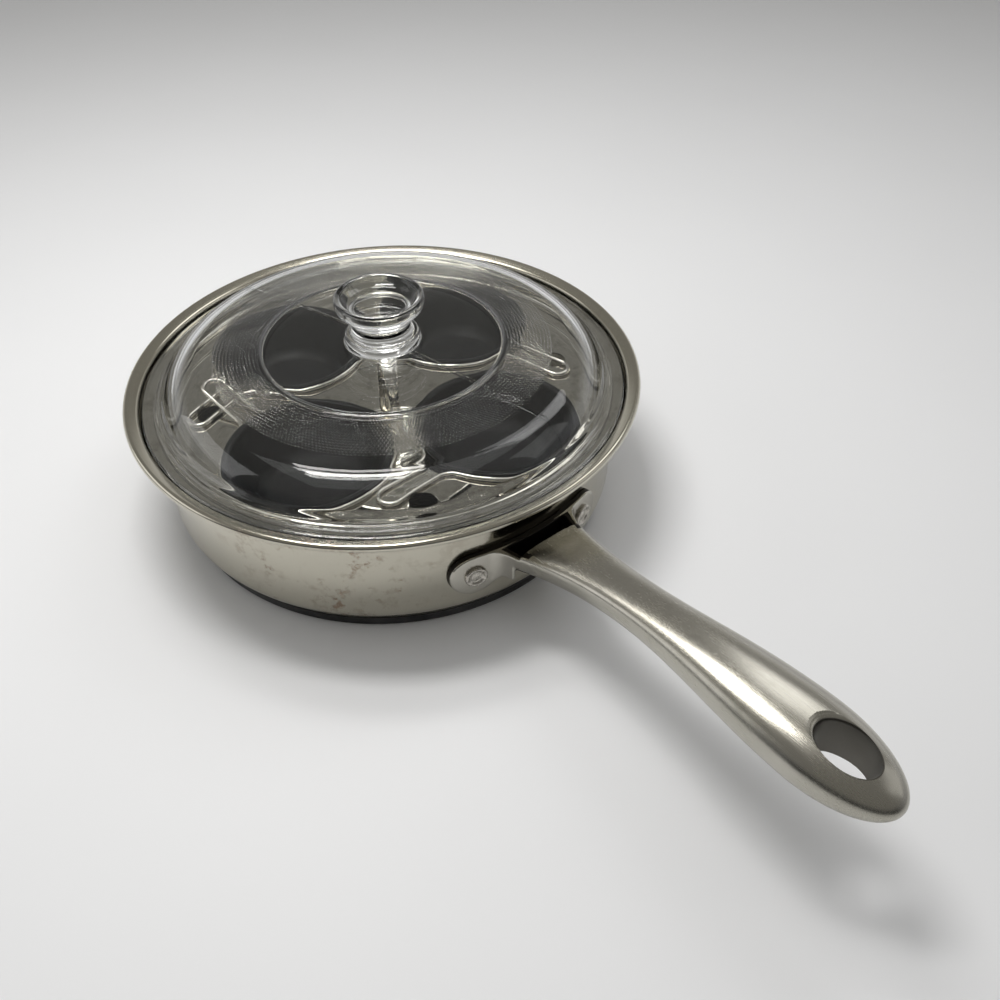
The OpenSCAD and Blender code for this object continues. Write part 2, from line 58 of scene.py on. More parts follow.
def length(name, description, size_mm):
    """A length property whose default is given in millimetres."""
    return FloatProperty(name=name, description=description, default=size_mm * MM,
                         unit="LENGTH", subtype="DISTANCE", precision=5)


def turn(name, description, degrees):
    """An angle property whose default is given in degrees."""
    return FloatProperty(name=name, description=description, default=math.radians(degrees),
                         unit="ROTATION", subtype="ANGLE")


def linear(hex_colour):
    """The linear colour of an sRGB hex value."""
    def channel(i):
        c = int(hex_colour[i:i + 2], 16) / 255
        return c / 12.92 if c <= 0.04045 else ((c + 0.055) / 1.055) ** 2.4
    return (channel(1), channel(3), channel(5), 1.0)


def colour(name, description, hex_colour):
    """A colour property whose default is an sRGB hex value."""
    return FloatVectorProperty(name=name, description=description, subtype="COLOR", size=4,
                               min=0, max=1, default=linear(hex_colour))


class PanSizes(bpy.types.PropertyGroup):
    """Sizes of the pressed pan, its base and its rivets"""
    wall_r: length("Wall radius", "Outer radius of the straight wall", 117.5)
    ledge_z: length("Ledge height", "Height of the ledge that carries rack and lid", 61.5)
    ledge_w: length("Ledge width", "From the wall's inner face to the riser", 6.2)
    rim_rise: length("Rim rise", "Height of the rim's top above the ledge", 8.9)
    flare_w: length("Flare width", "Width of the flared rim band", 7.3)
    flare_rise: length("Flare rise", "How far the flared band rises", 3.2)
    sheet_t: length("Sheet", "Thickness of the pan's sheet", 1.0)
    corner_r: length("Corner radius", "Bend from the floor to the wall", 12)
    small_bend: length("Small bend", "Bends of the ledge", 1.5)
    flare_bend: length("Flare bend", "Bend from the riser to the flare", 2)
    curl_r: length("Curl radius", "Radius of the rolled rim edge", 1.3)
    core_r: length("Core radius", "Radius of the heat disc", 111.4)
    core_t: length("Core thickness", "Thickness of the heat disc", 4)
    cap_t: length("Cap thickness", "Thickness of the cap over the disc", 0.6)
    rivet_turn: turn("Rivet angle", "From the handle's middle to each rivet", 15.5)
    rivet_z: length("Rivet height", "Height of the rivets", 33)
    shank_r: length("Shank radius", "Radius of a rivet's shank", 3)
    head_r: length("Head radius", "Radius of a rivet's head", 5.5)
    head_h: length("Head height", "Height of a rivet's outer head", 1.6)
    ear_t: length("Ear thickness", "Thickness of the handle's ears", 3.2)
    ear_r: length("Ear radius", "Radius of an ear round its rivet", 11.5)


class HandleSizes(bpy.types.PropertyGroup):
    """Sizes of the cast handle"""
    tip_x: length("Tip", "From the pan's centre to the handle's tip", 310)
    swell_x: length("Swell", "From the pan's centre to the widest point", 272)
    waist_x: length("Waist", "From the pan's centre to the narrow waist", 182)
    root_w: length("Root width", "Width where it meets the wall", 44)
    waist_w: length("Waist width", "Width of the narrow waist", 23.2)
    swell_w: length("Grip width", "Width of the grip", 37.4)
    root_t: length("Root thickness", "Thickness at the wall", 19)
    root_lift: length("Root lift", "How far the widest line of the root lies above its middle", 4)
    waist_t: length("Waist thickness", "Thickness at the waist", 16)
    swell_t: length("Grip thickness", "Thickness of the grip", 23)
    root_z: length("Root height", "Middle line at the wall", 36)
    grip_z: length("Grip height", "Middle line along the grip", 57.3)
    root_wall: length("Root wall", "Wall of the hollow root", 3)
    notch_len: length("Notch", "Length of the notch that opens the root's top", 12)
    hang_l: length("Hole length", "Length of the hanging hole", 25.5)
    hang_w: length("Hole width", "Width of the hanging hole", 18.5)
    hang_to_tip: length("Hole to tip", "From the tip to the hole's middle", 25)
    web_reach: length("Web reach", "Curved web from the strap to the handle's side", 6)
    hollow_len: length("Hollow", "Length of the hollow beyond the notch", 26)
    voxel: length("Casting grain", "Size of the mesh cells of the casting", 0.5)


class RackSizes(bpy.types.PropertyGroup):
    """Sizes of the rack and its lift handle"""
    plate_z: length("Plate height", "Top of the rack's plate", 56.4)
    sheet_t: length("Sheet", "Thickness of the rack's sheet", 0.8)
    bend_r: length("Bend", "Bend from the plate to its wall", 2.5)
    cup_turn: turn("Cup turn", "Turn of the first cup from the handle", 21.4)
    cup_margin: length("Cup margin", "Between the wires and the rack's wall", 8)
    cup_between: length("Between cups", "Between the wires of two cups", 8.72)
    vent_margin: length("Vent margin", "From the rack's wall to each vent's middle", 24.6)
    vent_r: length("Vent radius", "Radius of a steam vent", 6.5)
    arch_span: length("Arch span", "Span of the lift handle", 44)
    arch_h: length("Arch height", "Height of the lift handle above the plate", 25.5)
    arch_t: length("Strap", "Thickness of the lift handle's strap", 1.6)
    arch_w: length("Strap width", "Width of the strap at its top", 9)
    foot_w: length("Foot width", "Width of the strap at its feet", 5)
    foot_l: length("Foot length", "Length of each foot", 6)


class CupSizes(bpy.types.PropertyGroup):
    """Sizes of the egg cups and their wires"""
    count: IntProperty(name="Cups", description="Number of egg cups", default=4, min=1, max=4)
    depth: length("Depth", "Depth of a cup", 24)
    wall_t: length("Wall", "Thickness of a cup's wall", 1.2)
    floor_r: length("Floor radius", "Radius of a cup's flat bottom", 20)
    corner_r: length("Corner radius", "Bend round a cup's bottom", 10)
    lip_bend: length("Lip bend", "Bend under a cup's lip", 1.2)
    lip_w: length("Lip width", "Width of the lip outside the middle of the wall", 3)
    wire_d: length("Wire", "Thickness of the wire round a cup", 2.2)
    loop_len: length("Loop length", "Length of a loop outside its ring", 35.4)
    loop_half: length("Loop half width", "Half the width of a loop", 5.7)
    loop_bend: length("Loop bend", "Bends where the ring runs into the loop", 8)


class LidSizes(bpy.types.PropertyGroup):
    """Sizes of the glass lid and its knob"""
    glass_t: length("Glass", "Thickness of the lid's glass", 4)
    dome_h: length("Dome height", "Dome's top above the lid's underside", 25.1)
    dome_r: length("Dome radius", "Radius of curvature of the dome", 1000)
    shoulder_w: length("Shoulder", "Width of the lid outside the flat dome", 28)
    rim_w: length("Rim width", "Width of the flat rim", 6)
    bead_ring_r: length("Raised ring", "Radius of the raised ring", 60)
    bead_r: length("Raised ring section", "Radius of the ring's section", 0.4)
    ridge_count: IntProperty(name="Foot rings", description="Rings at the shoulder's foot", default=2)
    ridge_band: length("Foot ring band", "Width of the band of rings at the shoulder's foot", 8)
    ridge_h: length("Shoulder ring height", "Height of a ring on the shoulder", 0.6)
    stipple_in: length("Stipple start", "Inner radius of the stippled band", 61.8)
    stipple_out: length("Stipple end", "Outer radius of the stippled band", 85)
    dot_r: length("Dot radius", "Radius of one moulded dot", 0.55)
    dots_round: IntProperty(name="Dots round", description="Dots in one ring", default=300)
    dot_rows: IntProperty(name="Dot rings", description="Rings of dots in the band", default=14)
    knob_foot_r: length("Knob foot", "Radius of the knob's foot", 19)
    knob_neck_r: length("Knob neck", "Radius of the knob's neck", 13.5)
    knob_bowl_r: length("Knob bowl", "Radius of the knob's bowl", 22)
    knob_h: length("Knob height", "Height of the knob above the dome", 24.5)
    dish_depth: length("Dish depth", "Depth of the dish in the knob's top", 5)


class Gaps(bpy.types.PropertyGroup):
    """Clearances between pieces that lift out"""
    seat: length("Seat gap", "Between a lifted-out piece and its seat", 0.3)
    rim: length("Rim gap", "Round the lid and the rack's flange", 0.7)
    rack: length("Rack gap", "Between the rack's wall and the pan's", 1.1)
    cup: length("Cup gap", "Between a cup and its opening", 1)


class Finishes(bpy.types.PropertyGroup):
    """Colours of the finishes"""
    steel: colour("Polished steel", "Pressed stainless steel of the pan", "#CBC7B9")
    cast: colour("Cast steel", "Satin cast steel of the handle", "#BFBCB3")
    stain: colour("Water stain", "Dried water on the pan's wall", "#8F7866")
    coating: colour("Coating", "Non-stick coating of the cups", "#06090C")
    glass: colour("Glass", "Pressed glass of the lid", "#FAFBFA")
    floor: colour("Floor", "Pale floor of the stage", "#EAEBED")


# How far the loop of each cup's wire turns from the way out, and how far it rises, in degrees
LOOP_TURNS = (-103, -97, 90, -100)
LOOP_TILTS = (0, 0, 0, 14)


def group(name):
    """The values of one of the property groups."""
    return getattr(bpy.context.scene, "poacher_" + name)


# Outlines

def arc(centre, radius, start, end, steps=8):
    """Points along an arc, with its angles in degrees."""
    angles = [math.radians(start + (end - start) * i / steps) for i in range(steps + 1)]
    return [(centre[0] + radius * math.cos(a), centre[1] + radius * math.sin(a)) for a in angles]


def bezier(p0, p1, p2, p3, steps):
    """Points along a cubic Bezier curve."""
    points = []
    for i in range(steps + 1):
        t = i / steps
        s = 1 - t
        weights = (s ** 3, 3 * s * s * t, 3 * s * t * t, t ** 3)
        points.append(tuple(sum(w * p[k] for w, p in zip(weights, (p0, p1, p2, p3)))
                            for k in range(len(p0))))
    return points


def side_directions(path):
    """The mitred direction to the left of each point of a path."""
    points = [Vector(p) for p in path]
    steps = [(b - a).normalized() for a, b in zip(points, points[1:])]
    sides = []
    for i in range(len(points)):
        a = steps[max(i - 1, 0)]
        b = steps[min(i, len(steps) - 1)]
        left_a, left_b = Vector((-a.y, a.x)), Vector((-b.y, b.x))
        n = (left_a + left_b).normalized()
        sides.append(n / n.dot(left_a))
    return sides


def offset_path(path, distance):
    """A path moved to its left, and kept off the far side of the axis."""
    return [(max(0.0, p[0] + s.x * distance), p[1] + s.y * distance)
            for p, s in zip(path, side_directions(path))]


def round_end(path, thickness, steps=4):
    """A half circle round the end of a sheet, from its left side to its right side."""
    end, before = Vector(path[-1]), Vector(path[-2])
    heading = math.degrees(math.atan2(end.y - before.y, end.x - before.x))
    return arc(path[-1], thickness / 2, heading + 90, heading - 90, steps)


def sheet(path, thickness):
    """The closed outline of a sheet along a path that starts on the axis."""
    left = offset_path(path, thickness / 2)
    right = offset_path(path, -thickness / 2)
    return left[:-1] + round_end(path, thickness) + right[-2::-1]


# Meshes

def mesh_from(bm):
    """A mesh with its doubles merged and its faces pointing outwards."""
    mesh = bpy.data.meshes.new("mesh")
    bmesh.ops.remove_doubles(bm, verts=bm.verts, dist=1e-7)
    bmesh.ops.recalc_face_normals(bm, faces=bm.faces)
    bm.to_mesh(mesh)
    bm.free()
    return mesh


def smooth(mesh, degrees=35):
    """Shades a mesh smooth, but for edges that are sharper than the given angle."""
    mesh.shade_smooth()
    mesh.set_sharp_from_angle(angle=math.radians(degrees))


def dress(mesh, maker, sharp=35):
    """Gives a mesh the one material that a maker function gives, and shades it smooth."""
    mesh.materials.clear()
    mesh.materials.append(made_once(maker))
    smooth(mesh, sharp)


def add_object(data, name):
    """Adds an object for a mesh, curve, light or camera, and names both alike."""
    data.name = name
    obj = bpy.data.objects.new(name, data)
    bpy.context.scene.collection.objects.link(obj)
    return obj


def add_piece(mesh, name, maker, sharp=35):
    """A visible piece, with its material."""
    dress(mesh, maker, sharp)
    return add_object(mesh, name)


def turned_mesh(outline, segments=256):
    """A closed outline turned about the Z axis."""
    bm = bmesh.new()
    turns = [2 * math.pi * k / segments for k in range(segments)]
    rings = []
    for r, z in outline:
        if r < 1e-6:
            rings.append([bm.verts.new((0, 0, z))])
        else:
            rings.append([bm.verts.new((r * math.cos(a), r * math.sin(a), z)) for a in turns])
    for a, b in zip(rings, rings[1:] + rings[:1]):
        if len(a) == 1 and len(b) == 1:
            continue
        for k in range(segments):
            k2 = (k + 1) % segments
            if len(a) == 1:
                bm.faces.new((a[0], b[k], b[k2]))
            elif len(b) == 1:
                bm.faces.new((b[0], a[k], a[k2]))
            else:
                bm.faces.new((a[k], a[k2], b[k2], b[k]))
    return mesh_from(bm)


def evaluated_mesh(obj):
    """The mesh of an object with its modifiers, which are then removed."""
    mesh = bpy.data.meshes.new_from_object(obj.evaluated_get(bpy.context.evaluated_depsgraph_get()))
    obj.modifiers.clear()
    return mesh


def bake_modifiers(obj):
    """Puts the result of an object's modifiers in place of its mesh."""
    old = obj.data
    mesh = evaluated_mesh(obj)
    obj.data = mesh
    mesh.name = old.name
    bpy.data.meshes.remove(old)


def cut(obj, cutter, operation="DIFFERENCE"):
    """Applies a Boolean with another object, which is then removed."""
    modifier = obj.modifiers.new("cut", "BOOLEAN")
    modifier.operation = operation
    modifier.solver = "EXACT"
    modifier.object = cutter
    bake_modifiers(obj)
    bpy.data.objects.remove(cutter)


def prism(name, outline, low, high, axis="Z"):
    """A polygon extruded from low to high along an axis."""
    bm = bmesh.new()
    place = {"Z": lambda p, h: (p[0], p[1], h), "X": lambda p, h: (h, p[0], p[1])}[axis]
    bottom = [bm.verts.new(place(p, low)) for p in outline]
    top = [bm.verts.new(place(p, high)) for p in outline]
    n = len(outline)
    bm.faces.new(bottom[::-1])
    bm.faces.new(top)
    for k in range(n):
        bm.faces.new((bottom[k], bottom[(k + 1) % n], top[(k + 1) % n], top[k]))
    return add_object(mesh_from(bm), name)


def loft(rings):
    """A closed skin over a row of rings with the same number of points."""
    bm = bmesh.new()
    rows = [[bm.verts.new(p) for p in ring] for ring in rings]
    n = len(rows[0])
    for a, b in zip(rows, rows[1:]):
        for k in range(n):
            bm.faces.new((a[k], a[(k + 1) % n], b[(k + 1) % n], b[k]))
    bm.faces.new(rows[0][::-1])
    bm.faces.new(rows[-1])
    return mesh_from(bm)


# Nodes

def fill(tree, made, values):
    """Links the inputs of a node whose values are sockets, and sets the others."""
    for key, value in values.items():
        if isinstance(value, bpy.types.NodeSocket):
            tree.links.new(value, made.inputs[key])
        else:
            made.inputs[key].default_value = value


def node(tree, kind, *values, out=0, **named):
    """Adds a node with its inputs and settings, and gives one of its outputs, or all for None.

    The values fill the inputs from the first on. A name with a capital is an input too, and any
    other name is a setting.
    """
    made = tree.nodes.new(kind if kind.startswith("Geometry") else "ShaderNode" + kind)
    inputs = dict(enumerate(values))
    for key, value in named.items():
        if key.islower():
            setattr(made, key, value)
        else:
            inputs[key] = value
    fill(tree, made, inputs)
    return made.outputs if out is None else made.outputs[out]


def geometry_tree(name, inputs):
    """A Geometry Nodes tree with a geometry input, named inputs and a geometry output."""
    tree = bpy.data.node_groups.new(name, "GeometryNodeTree")
    tree.interface.new_socket("Geometry", in_out="INPUT", socket_type="NodeSocketGeometry")
    for label, kind in inputs.items():
        tree.interface.new_socket(label, in_out="INPUT", socket_type=kind)
    tree.interface.new_socket("Geometry", in_out="OUTPUT", socket_type="NodeSocketGeometry")
    return tree, tree.nodes.new("NodeGroupInput").outputs


def finish_tree(tree, geometry, source):
    """Ends a tree in Realize Instances and Set Material."""
    real = node(tree, "GeometryNodeRealizeInstances", geometry)
    painted = node(tree, "GeometryNodeSetMaterial", real, Material=source["Material"])
    tree.links.new(painted, tree.nodes.new("NodeGroupOutput").inputs[0])


def run_tree(obj, tree, values):
    """Runs a tree on an object with its inputs set, and keeps the result as a plain mesh."""
    modifier = obj.modifiers.new(tree.name, "NODES")
    modifier.node_group = tree
    for item in tree.interface.items_tree:
        if item.in_out == "INPUT" and item.name in values:
            modifier[item.identifier] = values[item.name]
    mesh = evaluated_mesh(obj)
    smooth(mesh)
    made = bpy.data.objects.new(obj.name + "_made", mesh)
    bpy.context.scene.collection.objects.link(made)
    old = obj.data
    name = obj.name
    bpy.data.objects.remove(obj)
    if old.users == 0:
        getattr(bpy.data, "curves" if isinstance(old, bpy.types.Curve) else "meshes").remove(old)
    made.name = name
    return made


# Finishes

# Where the water marks are thickest, and how far from there they start and end fading
STAIN_CENTRE = (0.077, -0.088, 0.041)
STAIN_NEAR, STAIN_FAR = 14 * MM, 70 * MM
# The way across the mould seam of the lid, which runs 15 degrees from the handle
SEAM_ACROSS = (-0.2588, 0.9659, 0.0)
# How far the pattern of a turned piece is drawn out along radius, height and turn
TURNED = (1, 1, 60)


def new_material(name):
    """A material, its tree, and the place on the object that its patterns follow."""
    material = bpy.data.materials.new(name)
    material.use_nodes = True
    tree = material.node_tree
    return material, tree, node(tree, "TexCoord", out="Object")


def finished(material, inputs):
    """The material, with the inputs of its shader set or linked."""
    tree = material.node_tree
    fill(tree, tree.nodes["Principled BSDF"], inputs)
    return material


def noise(tree, place, size_mm, detail=2.0, rough=0.5, stretch=(1, 1, 1)):
    """A noise whose features are about size_mm across, stretched along the axes."""
    scale = 1 / (size_mm * MM)
    mapped = node(tree, "Mapping", place, Scale=tuple(scale / s for s in stretch))
    return node(tree, "TexNoise", mapped, Scale=1.0, Detail=detail, Roughness=rough)


def two_tone(tree, pattern, low, high, first, second, most=1.0):
    """The first colour where a pattern is low, and up to most of the second where it is high."""
    share = node(tree, "MapRange", pattern, low, high, 0.0, most)
    mix = tree.nodes.new("ShaderNodeMix")
    mix.data_type = "RGBA"
    # The names A and B belong to sockets of several kinds, and the colours are inputs 6 and 7.
    fill(tree, mix, {0: share, 6: first, 7: second})
    return mix.outputs[2]


def round_place(tree, place):
    """The distance from the pan's axis, the angle round it and the height."""
    x, y, z = node(tree, "SeparateXYZ", place, out=None)
    flat = node(tree, "CombineXYZ", x, y)
    radius = node(tree, "VectorMath", flat, operation="LENGTH", out="Value")
    return radius, node(tree, "Math", y, x, operation="ARCTAN2"), z


def turned_lines(tree, place, size_mm, along=0.05):
    """The lines of a lathe: a noise over radius and height, drawn out round the axis."""
    radius, angle, height = round_place(tree, place)
    slow = node(tree, "Math", angle, along, operation="MULTIPLY")
    return noise(tree, node(tree, "CombineXYZ", radius, height, slow), size_mm, 3, stretch=TURNED)


def polished_pan_steel():
    """Pressed stainless steel, buffed on a lathe: fine turned lines, and dried water marks."""
    material, tree, place = new_material("polished_stainless_steel_pressed")
    finishes = group("finishes")
    lines = turned_lines(tree, place, 0.5)
    cloud = noise(tree, place, 26, detail=4, rough=0.6)
    blots = noise(tree, place, 7, detail=5, rough=0.68)
    away = node(tree, "VectorMath", place, STAIN_CENTRE, operation="DISTANCE", out="Value")
    marks = node(tree, "MapRange", away, STAIN_NEAR, STAIN_FAR, 1.0, 0.1)
    for share in (node(tree, "MapRange", blots, 0.5, 0.6, 0.0, 0.95),
                  node(tree, "MapRange", cloud, 0.42, 0.62)):
        marks = node(tree, "Math", marks, share, operation="MULTIPLY")
    buffed = node(tree, "MapRange", lines, 0.3, 0.7, 0.13, 0.2)
    waves = node(tree, "Bump", Height=cloud, Distance=0.05 * MM)
    return finished(material, {
        "Base Color": two_tone(tree, marks, 0, 1, finishes.steel, finishes.stain),
        "Metallic": 1.0,
        "Roughness": node(tree, "Math", marks, 0.25, buffed, operation="MULTIPLY_ADD"),
        "Normal": node(tree, "Bump", Height=lines, Distance=0.0035 * MM, Normal=waves)})


def spun_base_steel():
    """Thin stainless cap, spun over the heat disc: turned lines, and dark grey in patches."""
    material, tree, place = new_material("spun_stainless_steel_dark_grey")
    lines = turned_lines(tree, place, 0.7)
    dark_patches = noise(tree, place, 30, detail=4, rough=0.6)
    return finished(material, {
        "Base Color": two_tone(tree, dark_patches, 0.35, 0.7, linear("#5C5C5C"), linear("#2F3031")),
        "Metallic": 1.0,
        "Roughness": node(tree, "MapRange", lines, 0.3, 0.7, 0.28, 0.42),
        "Normal": node(tree, "Bump", Height=lines, Distance=0.01 * MM)})


def painted_shade_mask(tree, place):
    """Where shade is painted dark: 1 in the open root and next to the wall, 0.75 in the hanging hole,
    and 0 on the outer faces.
    """
    h, pan = group("handle"), group("pan")
    taper, past_edge, hole_shade = 0.3, 1.03, 0.75
    x, y, z = node(tree, "SeparateXYZ", place, out=None)
    left = node(tree, "MapRange", x, h.swell_x, pan.wall_r, 0.0, 1.0, clamp=False)
    squared = node(tree, "Math", left, left, operation="MULTIPLY")
    level = node(tree, "Math", squared, h.grip_z - h.root_z, z, operation="MULTIPLY_ADD")
    above_mid = node(tree, "Math", level, h.grip_z, operation="SUBTRACT")
    off_mid = node(tree, "Math", above_mid, operation="ABSOLUTE")
    beside = node(tree, "Math", y, operation="ABSOLUTE")
    side = node(tree, "Math", x, taper, beside, operation="MULTIPLY_ADD")
    inside = 1.0
    for value, limit in ((off_mid, (h.root_t - h.root_wall) / 2),
                         (side, (h.root_w - h.root_wall) / 2 + taper * pan.wall_r),
                         (x, pan.wall_r + h.notch_len + 4 * MM)):
        within = node(tree, "Math", value, limit, operation="LESS_THAN")
        inside = node(tree, "Math", inside, within, operation="MULTIPLY")
    radius = round_place(tree, place)[0]
    crevice = node(tree, "Math", radius, pan.wall_r + pan.ear_t - 0.9 * MM, operation="LESS_THAN")
    scale = (2 / h.hang_l, 2 / h.hang_w, 0)
    centre = ((h.hang_to_tip - h.tip_x) * scale[0], 0, 0)
    from_hole = node(tree, "Mapping", place, Location=centre, Scale=scale)
    reach = node(tree, "VectorMath", from_hole, operation="LENGTH", out="Value")
    in_hole = node(tree, "Math", reach, past_edge, operation="LESS_THAN")
    shade = node(tree, "Math", in_hole, hole_shade, operation="MULTIPLY")
    root = node(tree, "Math", inside, crevice, operation="MAXIMUM")
    return node(tree, "Math", root, shade, operation="MAXIMUM")


def satin_cast_steel():
    """Cast stainless steel, linished along its length outside, rougher in its root; shade is painted
    dark in the root, by the wall and in the hanging hole.
    """
    material, tree, place = new_material("cast_stainless_steel_satin")
    grain = noise(tree, place, 0.4, detail=3, stretch=(40, 1, 1))
    cloud = noise(tree, place, 22, detail=3)
    # Painted shade: the open root, the crevice by the wall and the hanging hole are coloured dark
    painted_shade = painted_shade_mask(tree, place)
    outside = two_tone(tree, cloud, 0.3, 0.75, group("finishes").cast, linear("#B3B0A5"))
    worn = node(tree, "MapRange", cloud, 0.35, 0.7, -0.02, 0.03)
    linished = node(tree, "MapRange", grain, 0.3, 0.7, 0.21, 0.28)
    polished = node(tree, "Math", linished, worn, operation="ADD")
    waves = node(tree, "Bump", Height=cloud, Distance=0.03 * MM)
    return finished(material, {
        "Base Color": two_tone(tree, painted_shade, 0, 1, outside, linear("#3A3733")),
        "Metallic": 1.0,
        "Roughness": node(tree, "Math", painted_shade, 0.3, polished, operation="MULTIPLY_ADD"),
        "Normal": node(tree, "Bump", Height=grain, Distance=0.004 * MM, Normal=waves)})


def tumbled_rivet_steel():
    """Cold-headed stainless rivets: a dull tumbled face with a few dents."""
    material, tree, place = new_material("tumbled_stainless_steel_rivet")
    dents = noise(tree, place, 1.4, detail=3, rough=0.6)
    return finished(material, {
        "Base Color": linear("#BDB9B1"),
        "Metallic": 1.0,
        "Roughness": node(tree, "MapRange", dents, 0.3, 0.7, 0.2, 0.36),
        "Normal": node(tree, "Bump", Height=dents, Distance=0.025 * MM)})


def mirror_rack_steel():
    """Thin stainless sheet, bright as it left the press: a mirror with a slow wave in it."""
    material, tree, place = new_material("bright_stainless_steel_sheet")
    wave = noise(tree, place, 34, detail=1)
    marks = noise(tree, place, 6, detail=5, rough=0.65)
    return finished(material, {
        "Base Color": two_tone(tree, marks, 0.5, 0.72, linear("#D6D3CB"), linear("#B8B3A8")),
        "Metallic": 1.0,
        "Roughness": node(tree, "MapRange", marks, 0.4, 0.75, 0.02, 0.06),
        "Normal": node(tree, "Bump", Height=wave, Distance=0.3 * MM)})


def bright_wire_steel():
    """Drawn stainless wire, electropolished: nearly a mirror, with faint drawing marks."""
    material, tree, place = new_material("drawn_stainless_steel_wire")
    marks = noise(tree, place, 2.5, detail=4)
    return finished(material, {
        "Base Color": linear("#DEDBD4"),
        "Metallic": 1.0,
        "Roughness": node(tree, "MapRange", marks, 0.35, 0.7, 0.06, 0.16),
        "Normal": node(tree, "Bump", Height=marks, Distance=0.012 * MM)})


def nonstick_coating():
    """Sprayed non-stick coating on aluminium: dark grey, a low sheen, a fine pebbled skin."""
    material, tree, place = new_material("nonstick_coating_sprayed")
    pebble = noise(tree, place, 0.9)
    wear = noise(tree, place, 14, detail=5, rough=0.7)
    coating = group("finishes").coating
    return finished(material, {
        "Base Color": two_tone(tree, wear, 0.5, 0.78, coating, linear("#1D2123"), most=0.6),
        "Roughness": node(tree, "MapRange", wear, 0.35, 0.75, 0.5, 0.62),
        "Specular IOR Level": 0.3,
        "Normal": node(tree, "Bump", Height=pebble, Distance=0.02 * MM)})


def stipple_height(tree, place):
    """Round dots in staggered rings, as high as 1, in the stippled band of the lid."""
    lid = group("lid")
    radius, angle, _ = round_place(tree, place)
    pitch = (lid.stipple_out - lid.stipple_in) / lid.dot_rows
    row = node(tree, "MapRange", radius, lid.stipple_in, lid.stipple_out, 0.0, lid.dot_rows,
               clamp=False)
    ring = node(tree, "Math", row, operation="FLOOR")
    stagger = node(tree, "Math", ring, 0.5, lid.dots_round, operation="MULTIPLY_ADD")
    dots_per_radian = lid.dots_round / (2 * math.pi)
    turns = node(tree, "Math", angle, dots_per_radian, stagger, operation="MULTIPLY_ADD")
    off_row, off_dot = (node(tree, "Math", node(tree, "Math", v, operation="FRACT"), 0.5,
                             operation="SUBTRACT") for v in (row, turns))
    along = node(tree, "Math", off_dot, radius, operation="MULTIPLY")
    in_dots = node(tree, "VectorMath", node(tree, "CombineXYZ", off_row, along),
                   (pitch / lid.dot_r, 1 / dots_per_radian / lid.dot_r, 0), operation="MULTIPLY")
    share = node(tree, "VectorMath", in_dots, in_dots, operation="DOT_PRODUCT", out="Value")
    height = node(tree, "Math", 1.0, share, operation="SUBTRACT")
    for bound, operation in ((0.0, "GREATER_THAN"), (lid.dot_rows, "LESS_THAN")):
        within = node(tree, "Math", row, bound, operation=operation)
        height = node(tree, "Math", height, within, operation="MULTIPLY")
    return node(tree, "Math", height, 0.0, operation="MAXIMUM")


def pressed_glass():
    """Clear pressed soda-lime glass: stippled band, mould seam, a soft press ripple."""
    material, tree, place = new_material("pressed_soda_lime_glass")
    ripple = noise(tree, place, 22, detail=1)
    across = node(tree, "VectorMath", place, SEAM_ACROSS, operation="DOT_PRODUCT", out="Value")
    off = node(tree, "Math", across, operation="ABSOLUTE")
    seam = node(tree, "MapRange", off, 0.1 * MM, 0.5 * MM, 1.0, 0.0)
    normal = node(tree, "Bump", Height=ripple, Distance=0.1 * MM)
    normal = node(tree, "Bump", Height=seam, Distance=0.06 * MM, Normal=normal)
    dots = stipple_height(tree, place)
    return finished(material, {
        "Base Color": tuple(group("finishes").glass),
        "Transmission Weight": 1.0,
        "IOR": 1.5,
        "Roughness": 0.0,
        "Normal": node(tree, "Bump", Height=dots, Distance=0.075 * MM, Normal=normal)})


def rolled_aluminium():
    """Rolled aluminium disc, closed in by its cap: plain mill finish."""
    material, tree, place = new_material("rolled_aluminium_mill_finish")
    grain = noise(tree, place, 0.8, stretch=(30, 1, 1))
    return finished(material, {
        "Base Color": linear("#C9CACC"),
        "Metallic": 1.0,
        "Roughness": node(tree, "MapRange", grain, 0.3, 0.7, 0.3, 0.45)})


def painted_floor():
    """A smooth pale tabletop of matt laminate, with a trace of mottle."""
    material, tree, place = new_material("matt_laminate_floor")
    base = tuple(group("finishes").floor)
    darker = tuple(c * 0.96 for c in base[:3]) + (1.0,)
    return finished(material, {
        "Base Color": two_tone(tree, noise(tree, place, 160, detail=3), 0, 1, base, darker),
        "Roughness": 0.55})


_made = {}


def made_once(maker):
    """The material that a maker function gives, made once."""
    if maker not in _made:
        _made[maker] = maker()
    return _made[maker]


# Levels that several pieces share

